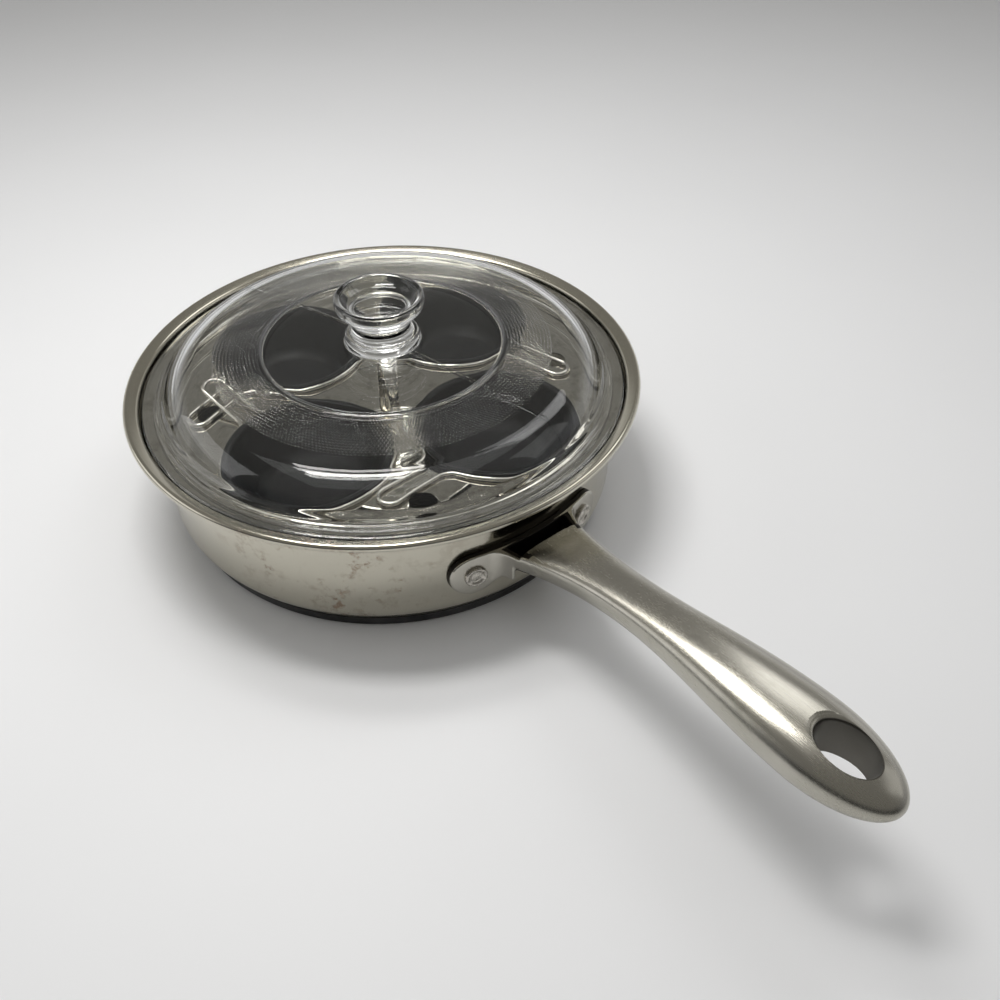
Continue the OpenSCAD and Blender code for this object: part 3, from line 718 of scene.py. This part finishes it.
def levels():
    """Heights and radii that follow from the sizes, as the construction has them."""
    pan, rack, cups, lid, gaps = (group(n) for n in ("pan", "rack", "cups", "lid", "gaps"))
    at = SimpleNamespace()
    at.floor_under_z = pan.cap_t + pan.core_t
    at.wall_in_r = pan.wall_r - pan.sheet_t
    at.riser_in_r = at.wall_in_r + pan.ledge_w
    at.rim_top_z = pan.ledge_z + pan.rim_rise
    at.rim_r = at.riser_in_r + pan.flare_w
    at.flange_z = pan.ledge_z + gaps.seat
    at.lid_r = at.riser_in_r - gaps.rim
    at.lid_under_z = at.flange_z + rack.sheet_t + gaps.seat
    at.dome_top_z = at.lid_under_z + lid.dome_h
    at.wire_z = rack.plate_z + gaps.seat + cups.wire_d / 2
    at.lip_under_z = at.wire_z + cups.wire_d / 2
    at.rack_in_r = at.wall_in_r - gaps.rack - rack.sheet_t
    half_step = math.sin(math.pi / cups.count)
    room = at.rack_in_r - rack.cup_margin
    at.wire_out_r = (2 * room * half_step - rack.cup_between) / (2 + 2 * half_step)
    at.cup_ring_r = room - at.wire_out_r
    at.vent_ring_r = at.rack_in_r - rack.vent_margin
    at.wire_ring_r = at.wire_out_r - cups.wire_d / 2
    at.cup_hole_r = at.wire_out_r - cups.wire_d - gaps.seat
    at.bowl_mid_r = at.cup_hole_r - gaps.cup - cups.wall_t / 2
    at.lip_r = at.bowl_mid_r + cups.lip_w
    return at


def cup_place(i):
    """The matrix that puts cup i in its opening, with X pointing away from the pan's centre."""
    rack = group("rack")
    angle = rack.cup_turn + 2 * math.pi / group("cups").count * i
    return Matrix.Rotation(angle, 4, "Z") @ Matrix.Translation((levels().cup_ring_r, 0, 0))


class PieceOperator:
    """What the operators of this file share."""
    bl_options = {"REGISTER", "UNDO"}


class POACHER_OT_pan(PieceOperator, bpy.types.Operator):
    """Make the pressed pan with its ledge and flared rim, and the cap over its heat disc"""
    bl_idname = "poacher.pan"
    bl_label = "Pan and base"

    def execute(self, context):
        pan, at = group("pan"), levels()
        t = pan.sheet_t
        wall_mid = pan.wall_r - t / 2
        riser_mid = at.riser_in_r + t / 2
        floor_mid = at.floor_under_z + t / 2
        ledge_mid = pan.ledge_z - t / 2
        flare_turn = math.atan2(pan.flare_rise, pan.flare_w)
        past = 90 + math.degrees(flare_turn)
        curl = (at.rim_r - t / 2 - pan.curl_r, at.rim_top_z - t / 2 - pan.curl_r)
        curl_start = arc(curl, pan.curl_r, past, past, 1)[0]
        bend_r = riser_mid + pan.flare_bend
        start_r = bend_r + pan.flare_bend * math.cos(math.radians(past))
        bend_z = (curl_start[1] - (curl_start[0] - start_r) * math.tan(flare_turn)
                  - pan.flare_bend * math.sin(math.radians(past)))
        small = pan.small_bend
        path = [(0, floor_mid)]
        path += arc((wall_mid - pan.corner_r, floor_mid + pan.corner_r), pan.corner_r, -90, 0, 14)
        path += arc((wall_mid + small, ledge_mid - small), small, 180, 90, 7)
        path += arc((riser_mid - small, ledge_mid + small), small, -90, 0, 7)
        path += arc((bend_r, bend_z), pan.flare_bend, 180, past, 8)
        path += arc(curl, pan.curl_r, past, -40, 10)
        shell = add_piece(turned_mesh(sheet(path, t), 320), "pan_shell_pressed",
                          polished_pan_steel, 50)
        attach(shell, "pan")
        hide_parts("pan_shell")

        cap_r, bevel = pan.core_r + pan.cap_t, 0.8 * MM
        top_z, edge = at.floor_under_z, 0.3 * MM
        outline = [(0, 0)] + arc((cap_r - bevel, bevel), bevel, -90, 0, 6)
        outline += [(cap_r, top_z - edge), (cap_r - edge, top_z), (pan.core_r, top_z),
                    (pan.core_r, pan.cap_t), (0, pan.cap_t)]
        cap = add_piece(turned_mesh(outline), "base_cap_spun", spun_base_steel, 40)
        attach(cap, "pan")
        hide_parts("base_cap")
        for material_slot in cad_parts["base_core"].material_slots:
            material_slot.material = made_once(rolled_aluminium)
        return {"FINISHED"}


# The power of the handle's oval sections, what its root's top adds, and how fast that fades
GRIP_ROUNDNESS = 2.3
TOP_SQUARENESS = 1.0
RIDGE_FADE = 1.15
# How far the handle's pieces start inside the pan's wall, which is cut away from them
INTO_WALL = 6 * MM


def handle_section(x, inset=0.0, sides=96):
    """One section of the handle: round at the grip, flatter on top and widest high at the root."""
    h, pan = group("handle"), group("pan")
    along = min(1.0, max(0.0, (x - pan.wall_r) / (h.swell_x - pan.wall_r)))
    mid_z = h.grip_z - (h.grip_z - h.root_z) * (1 - along) ** 2
    past = max(0.0, x - h.swell_x) / (h.tip_x - h.swell_x)
    tip = math.sqrt(max(0.0, 1 - past * past))
    if x < h.waist_x:
        left = 1 - min(1.0, max(0.0, (x - pan.wall_r) / (h.waist_x - pan.wall_r)))
        width = h.waist_w + (h.root_w - h.waist_w) * left ** 2.2
        height = h.waist_t + (h.root_t - h.waist_t) * left ** 2
    else:
        share = min(1.0, (x - h.waist_x) / (h.swell_x - h.waist_x))
        ease = (1 - math.cos(math.pi * share)) / 2
        width = h.waist_w + (h.swell_w - h.waist_w) * ease
        height = h.waist_t + (h.swell_t - h.waist_t) * ease
    half_w, half_t = tip * width / 2 - inset, tip * height / 2 - inset
    root_share = max(0.0, 1 - along * RIDGE_FADE)
    lift = h.root_lift * root_share
    points = []
    for k in range(sides):
        a = 2 * math.pi * k / sides
        top = math.sin(a) > 0
        power = 2 / (GRIP_ROUNDNESS + (TOP_SQUARENESS * root_share if top else 0))
        y = math.copysign(abs(math.cos(a)) ** power, math.cos(a))
        z = math.copysign(abs(math.sin(a)) ** power, math.sin(a))
        points.append((x, half_w * y, mid_z + lift + (half_t + (-lift if top else lift)) * z))
    return points


def section_reach(x):
    """Half width, lowest point and highest point of the handle at x."""
    points = handle_section(x)
    heights = [p[2] for p in points]
    return points[0][1], min(heights), max(heights)


def handle_skin(name, inset, start, end, steps):
    """A stretch of the handle's shape, drawn in by an inset."""
    xs = [start + (end - start) * i / steps for i in range(steps + 1)]
    return add_object(loft([handle_section(x, inset) for x in xs]), name)


def strap_levels():
    """The strap's outer radius, its top and the handle's lowest point at the wall."""
    pan, h = group("pan"), group("handle")
    return pan.wall_r + pan.ear_t, pan.rivet_z + pan.ear_r, h.root_z - h.root_t / 2


def ear_object():
    """The strap on the wall, with two rounded ears, which curves into the handle's sides."""
    pan, h = group("pan"), group("handle")
    out_r, top_z, low_z = strap_levels()
    rivet_y = out_r * math.sin(pan.rivet_turn)
    end_x = out_r + h.web_reach
    half_end = section_reach(end_x)[0]
    half_mid = section_reach(end_x - h.web_reach / 2)[0]
    in_y = half_end - h.root_wall / 2
    inset, past_head = 3 * MM, 1 * MM
    start_turn = pan.rivet_turn - math.asin((pan.head_r + past_head) / out_r)
    root_turn = math.asin(h.root_w / 2 / out_r)
    curve = bezier((out_r * math.cos(start_turn), out_r * math.sin(start_turn)),
                   (out_r * math.cos(root_turn), out_r * math.sin(root_turn)),
                   (end_x - h.web_reach / 2, half_mid), (end_x, half_end), 16)
    start_x = pan.wall_r - INTO_WALL
    ring = [(pan.wall_r, 0.0), (out_r, 0.0), (out_r, pan.ledge_z), (pan.wall_r, pan.ledge_z)]
    ears = add_object(turned_mesh(ring, 360), "ears")
    lobe_low = pan.rivet_z - pan.ear_r
    front = [(rivet_y, top_z), (-rivet_y, top_z), (-rivet_y, lobe_low),
             (-h.root_w / 2, low_z + inset), (h.root_w / 2, low_z + inset), (rivet_y, lobe_low)]
    shape = prism("front", front, 0, 2 * out_r, "X")
    plan = [(start_x, curve[0][1])] + curve + [(end_x, in_y), (start_x, in_y)]
    for side in (-1, 1):
        cut(ears, prism("web", [(x, side * y) for x, y in plan], 0, pan.ledge_z), "UNION")
        lobe = arc((side * rivet_y, pan.rivet_z), pan.ear_r, 0, 360, 48)[:-1]
        cut(shape, prism("lobe", lobe, 0, 2 * out_r, "X"), "UNION")
    cut(ears, shape, "INTERSECT")
    return ears


def hanging_hole():
    """The oval hole, with a soft rounded edge above and below."""
    h = group("handle")
    x = h.tip_x - h.hang_to_tip
    _, low, high = section_reach(x)
    past, sides = 5 * MM, 128
    turns = [math.radians(9 * k) for k in range(11)]
    steps = []
    for round_r, level, down in ((0.8 * MM, low, -1), (2.2 * MM, high, 1)):
        edge = [(level - down * round_r * (1 - math.sin(a)), round_r * (1 - math.cos(a)))
                for a in turns]
        edge.append((level + down * past, edge[-1][1] + past))
        steps += edge if down > 0 else edge[::-1]
    rings = []
    for z, out in steps:
        rings.append([(x + (h.hang_l / 2 + out) * math.cos(a), (h.hang_w / 2 + out) * math.sin(a), z)
                      for a in (2 * math.pi * k / sides for k in range(sides))])
    return add_object(loft(rings), "hole")


class POACHER_OT_handle(PieceOperator, bpy.types.Operator):
    """Make the cast handle with its hollow root, its ears and its hanging hole"""
    bl_idname = "poacher.handle"
    bl_label = "Handle"

    def execute(self, context):
        h, pan = group("handle"), group("pan")
        root_start = pan.wall_r - INTO_WALL
        notch_x = pan.wall_r + h.notch_len
        shank_steps, tip_steps, last_turn = 110, 36, math.radians(89.2)
        xs = [root_start + (h.swell_x - root_start) * i / shank_steps
              for i in range(shank_steps + 1)]
        xs += [h.swell_x + (h.tip_x - h.swell_x) * math.sin(last_turn * i / tip_steps)
               for i in range(1, tip_steps + 1)]
        handle = add_object(loft([handle_section(x) for x in xs]), "handle_cast")
        back_x, notch_z, strap_z = root_start - 2 * MM, h.root_z + h.root_wall, strap_levels()[1]
        cut(handle, handle_skin("hollow", h.root_wall, back_x, notch_x + h.hollow_len, 24))
        for low, drawn_in in ((notch_z, h.root_wall), (strap_z, -h.root_wall)):
            half = [section_reach(x)[0] - drawn_in for x in (root_start, notch_x)]
            notch = [(back_x, -half[0]), (notch_x, -half[1]), (notch_x, half[1]), (back_x, half[0])]
            cut(handle, prism("notch", notch, low, pan.ledge_z))
        cut(handle, ear_object(), "UNION")
        remesh = handle.modifiers.new("casting", "REMESH")
        remesh.mode = "VOXEL"
        remesh.voxel_size = h.voxel
        remesh.adaptivity = 0.0
        even = handle.modifiers.new("polish", "SMOOTH")
        even.factor = 0.5
        even.iterations = 5
        bake_modifiers(handle)
        under, over = -1 * MM, 90 * MM
        wall = [(0, under), (pan.wall_r, under), (pan.wall_r, over), (0, over)]
        cut(handle, add_object(turned_mesh(wall, 360), "wall"))
        cut(handle, hanging_hole())
        dress(handle.data, satin_cast_steel, 60)
        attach(handle, "pan")
        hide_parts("handle")
        return {"FINISHED"}


def rivet_tree():
    """Puts a rivet at each side of the handle, pointing straight out of the wall."""
    tree, source = geometry_tree("rivets", {
        "Height": "NodeSocketFloat", "Turn": "NodeSocketFloat", "Material": "NodeSocketMaterial"})
    line = node(tree, "GeometryNodeMeshLine", Count=2, Offset=(0, 0, 0))
    index = node(tree, "GeometryNodeInputIndex")
    side = node(tree, "Math", index, 2.0, -1.0, operation="MULTIPLY_ADD")
    about_z = node(tree, "Math", side, source["Turn"], operation="MULTIPLY")
    rotation = node(tree, "CombineXYZ", 0.0, math.pi / 2, about_z)
    lift = node(tree, "CombineXYZ", Z=source["Height"])
    placed = node(tree, "GeometryNodeSetPosition", line, Position=lift)
    rivets = node(tree, "GeometryNodeInstanceOnPoints", placed, Instance=source["Geometry"],
                  Rotation=rotation)
    finish_tree(tree, rivets, source)
    return tree


class POACHER_OT_rivets(PieceOperator, bpy.types.Operator):
    """Make the two rivets with their raised rings and dimples"""
    bl_idname = "poacher.rivets"
    bl_label = "Rivets"

    def execute(self, context):
        pan, at = group("pan"), levels()
        gap, inner_h, chamfer = 0.2 * MM, 1.2 * MM, 0.5 * MM
        inner_z = at.wall_in_r - gap
        under_z = inner_z - inner_h
        seat_z = pan.wall_r + pan.ear_t
        r, dish = pan.head_r, 0.68

        def head(out, up):
            """A point of the outer head, as shares of its radius and height."""
            return (r * out, seat_z + pan.head_h * up)

        outline = [(0, under_z), (r - chamfer, under_z), (r, under_z + chamfer), (r, inner_z),
                   (pan.shank_r, inner_z), (pan.shank_r, seat_z), (r, seat_z)]
        outline += bezier(head(1, 0.3), head(1, 1), head(0.92, 1), head(0.83, 1), 6)
        outline += bezier(head(0.78, 0.97), head(dish, 0.9), head(dish, 0.5),
                          head(dish * 0.8, 0.42), 6)
        outline += bezier(head(dish * 0.5, 0.5), head(dish * 0.35, 0.6), head(dish * 0.2, 0.62),
                          head(0, 0.62), 4)
        rivet = add_object(turned_mesh(outline, 48), "rivets_headed")
        rivets = run_tree(rivet, rivet_tree(), {
            "Height": pan.rivet_z, "Turn": pan.rivet_turn, "Material": made_once(tumbled_rivet_steel)})
        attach(rivets, "pan")
        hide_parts("handle_rivets")
        return {"FINISHED"}


class POACHER_OT_rack(PieceOperator, bpy.types.Operator):
    """Make the rack's plate with its cup openings and vents, and its lift handle"""
    bl_idname = "poacher.rack"
    bl_label = "Rack"

    def execute(self, context):
        rack, pan, gaps, at = group("rack"), group("pan"), group("gaps"), levels()
        t = rack.sheet_t
        wall_mid = at.wall_in_r - gaps.rack - t / 2
        plate_mid = rack.plate_z - t / 2
        flange_mid = at.flange_z + t / 2
        small = pan.small_bend
        path = [(0, plate_mid)]
        path += arc((wall_mid - rack.bend_r, plate_mid + rack.bend_r), rack.bend_r, -90, 0, 8)
        path += arc((wall_mid + small, flange_mid - small), small, 180, 90, 6)
        path += [(at.lid_r - t / 2, flange_mid)]
        plate = add_object(turned_mesh(sheet(path, t), 288), "rack_plate_pressed")
        step = 2 * math.pi / group("cups").count
        for i in range(group("cups").count):
            holes = [(at.cup_ring_r, at.cup_hole_r, rack.cup_turn + step * i, 128),
                     (at.vent_ring_r, rack.vent_r, rack.cup_turn + step * (i + 0.5), 48)]
            for distance, radius, angle, sides in holes:
                centre = (distance * math.cos(angle), distance * math.sin(angle))
                outline = arc(centre, radius, 0, 360, sides)[:-1]
                cut(plate, prism("opening", outline, rack.plate_z - 3 * t, rack.plate_z + 2 * t))
        dress(plate.data, mirror_rack_steel, 30)
        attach(plate, "rack")
        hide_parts("rack_plate")
        strap = lift_strap()
        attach(strap, "rack")
        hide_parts("rack_lift_handle")
        return {"FINISHED"}


def lift_strap():
    """The arched strap, wide at its top and narrow at its feet."""
    rack = group("rack")
    t, leg = rack.arch_t, rack.arch_span / 2
    bend, top = 1.5 * MM, 2 * MM
    taper, edge = leg * 0.55, t * 0.3
    path = [(leg + rack.foot_l, t / 2)]
    path += arc((leg + bend, t / 2 + bend), bend, -90, -180, 6)
    path += [(leg * math.cos(math.radians(a)),
              top + (rack.arch_h - top - t / 2) * math.sin(math.radians(a)))
             for a in range(6, 180, 6)]
    path += arc((-leg - bend, t / 2 + bend), bend, 0, -90, 6)
    path += [(-leg - rack.foot_l, t / 2)]
    sides = side_directions(path)
    rings = []
    for (x, z), side in zip(path, sides):
        share = min(1.0, max(0.0, (leg - abs(x)) / taper))
        half = (rack.foot_w + (rack.arch_w - rack.foot_w) * share) / 2
        ring = []
        for y, way in ((half - edge, 1), (half, 0.4), (half, -0.4), (half - edge, -1),
                       (edge - half, -1), (-half, -0.4), (-half, 0.4), (edge - half, 1)):
            ring.append((x + side.x * way * t / 2, y, z + side.y * way * t / 2))
        rings.append(ring)
    mesh = loft(rings)
    angle = rack.cup_turn + 2 * math.pi / group("cups").count * 3.5
    mesh.transform(Matrix.Translation((0, 0, rack.plate_z)) @ Matrix.Rotation(angle, 4, "Z"))
    return add_piece(mesh, "rack_lift_strap", bright_wire_steel, 50)


class POACHER_OT_cups(PieceOperator, bpy.types.Operator):
    """Make the non-stick egg cups"""
    bl_idname = "poacher.cups"
    bl_label = "Egg cups"

    def execute(self, context):
        cups, at = group("cups"), levels()
        t = cups.wall_t
        draft, straight = 1.5 * MM, 8 * MM
        lip_mid = at.lip_under_z + t / 2
        floor_mid = lip_mid - cups.depth
        path = [(0, floor_mid)]
        path += arc((cups.floor_r, floor_mid + cups.corner_r), cups.corner_r, -90, -25, 10)
        path += [(at.bowl_mid_r - draft, lip_mid - straight)]
        path += arc((at.bowl_mid_r + cups.lip_bend, lip_mid - cups.lip_bend), cups.lip_bend,
                    180, 90, 6)
        path += [(at.lip_r - t / 2, lip_mid)]
        for i in range(cups.count):
            mesh = turned_mesh(sheet(path, t), 160)
            mesh.transform(cup_place(i))
            cup = add_piece(mesh, "cup_coated_%d" % (i + 1), nonstick_coating, 50)
            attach(cup, "egg_cup_%d" % (i + 1))
            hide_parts("cup_%d" % (i + 1))
        return {"FINISHED"}


def wire_tree():
    """Sweeps a round wire along a closed curve."""
    tree, source = geometry_tree("wire", {
        "Thickness": "NodeSocketFloat", "Sides": "NodeSocketInt", "Material": "NodeSocketMaterial"})
    radius = node(tree, "Math", source["Thickness"], 0.5, operation="MULTIPLY")
    section = node(tree, "GeometryNodeCurvePrimitiveCircle", source["Sides"], Radius=radius)
    swept = node(tree, "GeometryNodeCurveToMesh", source["Geometry"], section)
    finish_tree(tree, swept, source)
    return tree


def wire_line(i):
    """The middle line of cup i's wire, round its ring and out round its loop."""
    cups, at = group("cups"), levels()
    ring_r, half, bend = at.wire_ring_r, cups.loop_half, cups.loop_bend
    bend_y = half + bend
    bend_x = math.sqrt((ring_r + bend) ** 2 - bend_y ** 2)
    leave = math.degrees(math.asin(bend_y / (ring_r + bend)))
    tip_x = at.wire_out_r + cups.loop_len - half - cups.wire_d / 2
    line = arc((0, 0), ring_r, leave, 360 - leave, 120)
    line += arc((bend_x, -bend_y), bend, 180 - leave, 90, 10)[1:]
    line += arc((tip_x, 0), half, -90, 90, 20)
    line += arc((bend_x, bend_y), bend, 270, 180 + leave, 10)[:-1]
    tilt = math.radians(LOOP_TILTS[i])
    points = []
    for x, y in line:
        out = max(0.0, x - bend_x)
        points.append(Vector((min(x, bend_x) + out * math.cos(tilt), y, out * math.sin(tilt))))
    place = (cup_place(i) @ Matrix.Rotation(math.radians(LOOP_TURNS[i]), 4, "Z")
             @ Matrix.Translation((0, 0, at.wire_z)))
    return [place @ p for p in points]


class POACHER_OT_wires(PieceOperator, bpy.types.Operator):
    """Make the wire ring and loop round each cup"""
    bl_idname = "poacher.wires"
    bl_label = "Cup wires"

    def execute(self, context):
        cups = group("cups")
        tree = wire_tree()
        for i in range(cups.count):
            name = "cup_wire_bent_%d" % (i + 1)
            curve = bpy.data.curves.new(name, "CURVE")
            curve.dimensions = "3D"
            spline = curve.splines.new("POLY")
            points = wire_line(i)
            spline.points.add(len(points) - 1)
            for point, place in zip(spline.points, points):
                point.co = (*place, 1)
            spline.use_cyclic_u = True
            wire = run_tree(add_object(curve, name), tree, {
                "Thickness": cups.wire_d, "Sides": 16, "Material": made_once(bright_wire_steel)})
            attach(wire, "egg_cup_%d" % (i + 1))
            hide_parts("cup_wire_%d" % (i + 1))
        return {"FINISHED"}


def knob_outline(dome_top):
    """The knob from the middle of its dish down to the dome."""
    lid = group("lid")
    top = dome_top + lid.knob_h
    bowl_top = top - 3.2 * MM
    foot_edge, foot_top, under = (dome_top + h * MM for h in (1.6, 4.6, 13.2))
    edge, pull, neck_pull, bowl_pull = 1.8 * MM, 3 * MM, 3 * MM, 3.6 * MM
    foot, neck, bowl = lid.knob_foot_r, lid.knob_neck_r, lid.knob_bowl_r
    foot_in, bowl_in = foot - 3 * MM, neck + 2.6 * MM
    rim_r, rim_z = bowl - 2 * edge, top - edge
    dish_r, dish_z = rim_r - 7 * MM, top - lid.dish_depth
    line = [(0, dish_z), (dish_r / 2, dish_z)]
    line += bezier((dish_r, dish_z), (dish_r + pull, dish_z), (rim_r - edge, rim_z - edge),
                   (rim_r, rim_z), 12)
    line += arc((bowl - edge, top - edge), edge, 150, 0, 12)
    line += bezier((bowl, bowl_top), (bowl, bowl_top - bowl_pull),
                   (bowl_in + bowl_pull, under + bowl_pull), (bowl_in, under), 14)
    line += bezier((bowl_in, under), (neck, under - neck_pull), (neck, foot_top + neck_pull),
                   (foot_in, foot_top), 14)[1:]
    line += bezier((foot_in, foot_top), (foot, foot_top), (foot, foot_edge), (foot, dome_top), 10)[1:]
    return line


class POACHER_OT_lid(PieceOperator, bpy.types.Operator):
    """Make the pressed glass lid with its raised ring, its stippled band and its knob"""
    bl_idname = "poacher.lid"
    bl_label = "Glass lid"

    def execute(self, context):
        lid, at = group("lid"), levels()
        t = lid.glass_t
        rim_mid = at.lid_under_z + t / 2
        mid_top = at.dome_top_z - t / 2
        rim_in = at.lid_r - lid.rim_w

        def dome_z(r):
            return mid_top - r * r / (2 * lid.dome_r)

        def ridge(r):
            share = min(1.0, max(0.0, 1 - (rim_in - r) / lid.ridge_band))
            return lid.ridge_h * (1 - math.cos(2 * math.pi * lid.ridge_count * share)) / 2

        edge = at.lid_r - lid.shoulder_w
        slope = edge / lid.dome_r
        pull, rim_pull = 14 * MM, 8 * MM
        shoulder = bezier((edge, dome_z(edge)), (edge + pull, dome_z(edge) - pull * slope),
                          (rim_in - rim_pull, rim_mid), (rim_in, rim_mid), 72)
        tail = shoulder + [(at.lid_r - t / 2, rim_mid)]
        dome_steps = 24
        path = [(edge * i / dome_steps, dome_z(edge * i / dome_steps)) for i in range(dome_steps)]
        path += tail
        outer = [(p[0] + s.x * (t / 2 + ridge(p[0])), p[1] + s.y * (t / 2 + ridge(p[0])))
                 for p, s in zip(path, side_directions(path))]
        inner = offset_path(path, -t / 2)
        bead, bead_r = lid.bead_ring_r, lid.bead_r
        outline = knob_outline(at.dome_top_z)
        outline += [p for p in outer if lid.knob_foot_r < p[0] < bead - bead_r]
        outline += arc((bead, dome_z(bead) + t / 2), bead_r, 165, 15, 6)
        outline += [p for p in outer[:-1] if p[0] > bead + bead_r]
        outline += arc((at.lid_r - t / 2, rim_mid), t / 2, 90, -90, 12)
        outline += inner[-2::-1]
        glass = add_piece(turned_mesh(outline, 360), "lid_pressed_glass", pressed_glass, 80)
        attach(glass, "lid")
        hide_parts("glass_lid")
        return {"FINISHED"}


# The camera, as fitted to the outlines of rim, base and handle: metres, degrees and millimetres
CAMERA_PLACE = (0.3522, -0.2065, 0.3512)
CAMERA_HEADING = (-0.7815, 0.6239)
CAMERA_PITCH = 42.8
CAMERA_ROLL = -0.17
CAMERA_LENS = 34.24
# The brightness of the tent's sides, of what it adds ahead, and of its roof
SIDES_LEVEL, FRONT_LEVEL, ROOF_LEVEL = 0.4, 0.4, 0.21
WHITE, WARM = (1, 1, 1), (1, 0.985, 0.96)
# Name, place as metres ahead, across and up, size in metres, watts and tint
HANGING_LAMPS = (("far_strip", (0.24, 0.13, 0.78), (0.32, 0.12), 1.2, WARM),
                 ("near_strip", (0.02, 0.13, 0.78), (0.32, 0.12), 2.5, WARM),
                 ("ceiling_cloth", (-0.0391, -0.0312, 0.95), (1.1, 1.1), 2.8, WHITE))
# Name, place, the point in the pan's own axes that it is turned to, size and watts
SOFTBOXES = (("grip_softbox", (0.53, -0.5, 0.95), (0.25, 0, 0.06), (0.5, 0.45), 1.2),
             ("left_softbox", (0, 1.2, 0.62), (0.15, 0, 0.05), (1.0, 0.6), 1.6),
             ("side_softbox", (0, -1.5, 0.9), (0, 0, 0.05), (0.8, 0.8), 0.8))


def add_light(name, place, towards, size, power, tint=WHITE, across=None):
    """A soft rectangular light that points at a place, with its long side level or across."""
    light = bpy.data.lights.new(name, "AREA")
    light.shape = "RECTANGLE"
    light.size, light.size_y = size
    light.energy = power
    light.color = tint
    obj = add_object(light, name)
    back = (Vector(place) - Vector(towards)).normalized()
    side = Vector(across) if across else Vector((-back.y, back.x, 0))
    side = (side - back * side.dot(back)).normalized()
    turned = Matrix((side, back.cross(side), back)).transposed().to_4x4()
    obj.matrix_world = Matrix.Translation(place) @ turned
    return obj


def sky():
    """A white tent: pale ahead, grey at the sides and overhead, dark on the open side behind."""
    world = bpy.data.worlds.new("white_tent")
    bpy.context.scene.world = world
    world.use_nodes = True
    tree = world.node_tree
    tree.nodes.clear()
    direction = node(tree, "TexCoord", out="Generated")
    ahead = node(tree, "VectorMath", direction, (*CAMERA_HEADING, 0), operation="DOT_PRODUCT",
                 out="Value")
    up = node(tree, "SeparateXYZ", direction, out="Z")
    side = node(tree, "MapRange", ahead, -0.55, -0.05, 0.05, SIDES_LEVEL)
    front = node(tree, "MapRange", ahead, 0.1, 0.7, 0.0, FRONT_LEVEL)
    walls = node(tree, "Math", side, front, operation="ADD")
    top = node(tree, "MapRange", up, 0.18, 0.46)
    below_top = node(tree, "Math", 1.0, top, operation="SUBTRACT")
    roof = node(tree, "Math", top, ROOF_LEVEL, operation="MULTIPLY")
    level = node(tree, "Math", walls, below_top, roof, operation="MULTIPLY_ADD")
    tinted = two_tone(tree, top, 0, 1, linear("#EDEDEE"), linear("#FFFCF5"))
    back = node(tree, "Background", tinted, level)
    node(tree, "OutputWorld", back, out=None)


class POACHER_OT_stage(PieceOperator, bpy.types.Operator):
    """Make the pale floor, the soft light and the camera"""
    bl_idname = "poacher.stage"
    bl_label = "Stage"

    def execute(self, context):
        floor_half = 4
        bm = bmesh.new()
        bmesh.ops.create_grid(bm, x_segments=1, y_segments=1, size=floor_half)
        mesh = bpy.data.meshes.new("floor")
        bm.to_mesh(mesh)
        bm.free()
        floor = add_piece(mesh, "floor", painted_floor)
        sky()
        ahead = Vector((*CAMERA_HEADING, 0))
        across = Vector((-ahead.y, ahead.x, 0))
        axes = Matrix((ahead, across, (0, 0, 1))).transposed()
        for name, place, size, power, tint in HANGING_LAMPS:
            place = axes @ Vector(place)
            lamp = add_light(name, place, place - Vector((0, 0, 1)), size, power, tint, across)
            lamp.visible_glossy = name != "ceiling_cloth"
        for name, place, towards, size, power in SOFTBOXES:
            add_light(name, axes @ Vector(place), towards, size, power)

        camera = bpy.data.cameras.new("camera")
        camera.lens = CAMERA_LENS
        camera.clip_start = 10 * MM
        obj = add_object(camera, "camera")
        pitch = math.radians(CAMERA_PITCH)
        look = Vector((ahead.x * math.cos(pitch), ahead.y * math.cos(pitch), -math.sin(pitch)))
        turned = look.to_track_quat("-Z", "Y").to_matrix().to_4x4()
        roll = Matrix.Rotation(math.radians(CAMERA_ROLL), 4, "Z")
        obj.matrix_world = Matrix.Translation(CAMERA_PLACE) @ turned @ roll
        context.scene.camera = obj
        context.scene.view_settings.view_transform = "Standard"
        return {"FINISHED"}


class POACHER_PT_panel(bpy.types.Panel):
    """The pieces of the egg poacher pan"""
    bl_idname = "POACHER_PT_panel"
    bl_label = "Egg poacher pan"
    bl_space_type = "VIEW_3D"
    bl_region_type = "UI"
    bl_category = "Egg poacher"

    def draw(self, context):
        for operator in OPERATORS:
            self.layout.operator(operator.bl_idname)
        for name, sizes in GROUPS.items():
            box = self.layout.box()
            box.label(text=name.capitalize())
            for key in sizes.__annotations__:
                box.prop(group(name), key)


GROUPS = {"pan": PanSizes, "handle": HandleSizes, "rack": RackSizes, "cups": CupSizes,
          "lid": LidSizes, "gaps": Gaps, "finishes": Finishes}
OPERATORS = (POACHER_OT_stage, POACHER_OT_pan, POACHER_OT_handle, POACHER_OT_rivets,
             POACHER_OT_rack, POACHER_OT_cups, POACHER_OT_wires, POACHER_OT_lid)
CLASSES = (*GROUPS.values(), *OPERATORS, POACHER_PT_panel)


def register():
    for cls in CLASSES:
        bpy.utils.register_class(cls)
    for name, sizes in GROUPS.items():
        setattr(bpy.types.Scene, "poacher_" + name, PointerProperty(type=sizes))


def unregister():
    for name in GROUPS:
        delattr(bpy.types.Scene, "poacher_" + name)
    for cls in reversed(CLASSES):
        bpy.utils.unregister_class(cls)


def main():
    register()
    for operator in OPERATORS:
        area, name = operator.bl_idname.split(".")
        getattr(getattr(bpy.ops, area), name)()


if __name__ == "__main__":
    main()
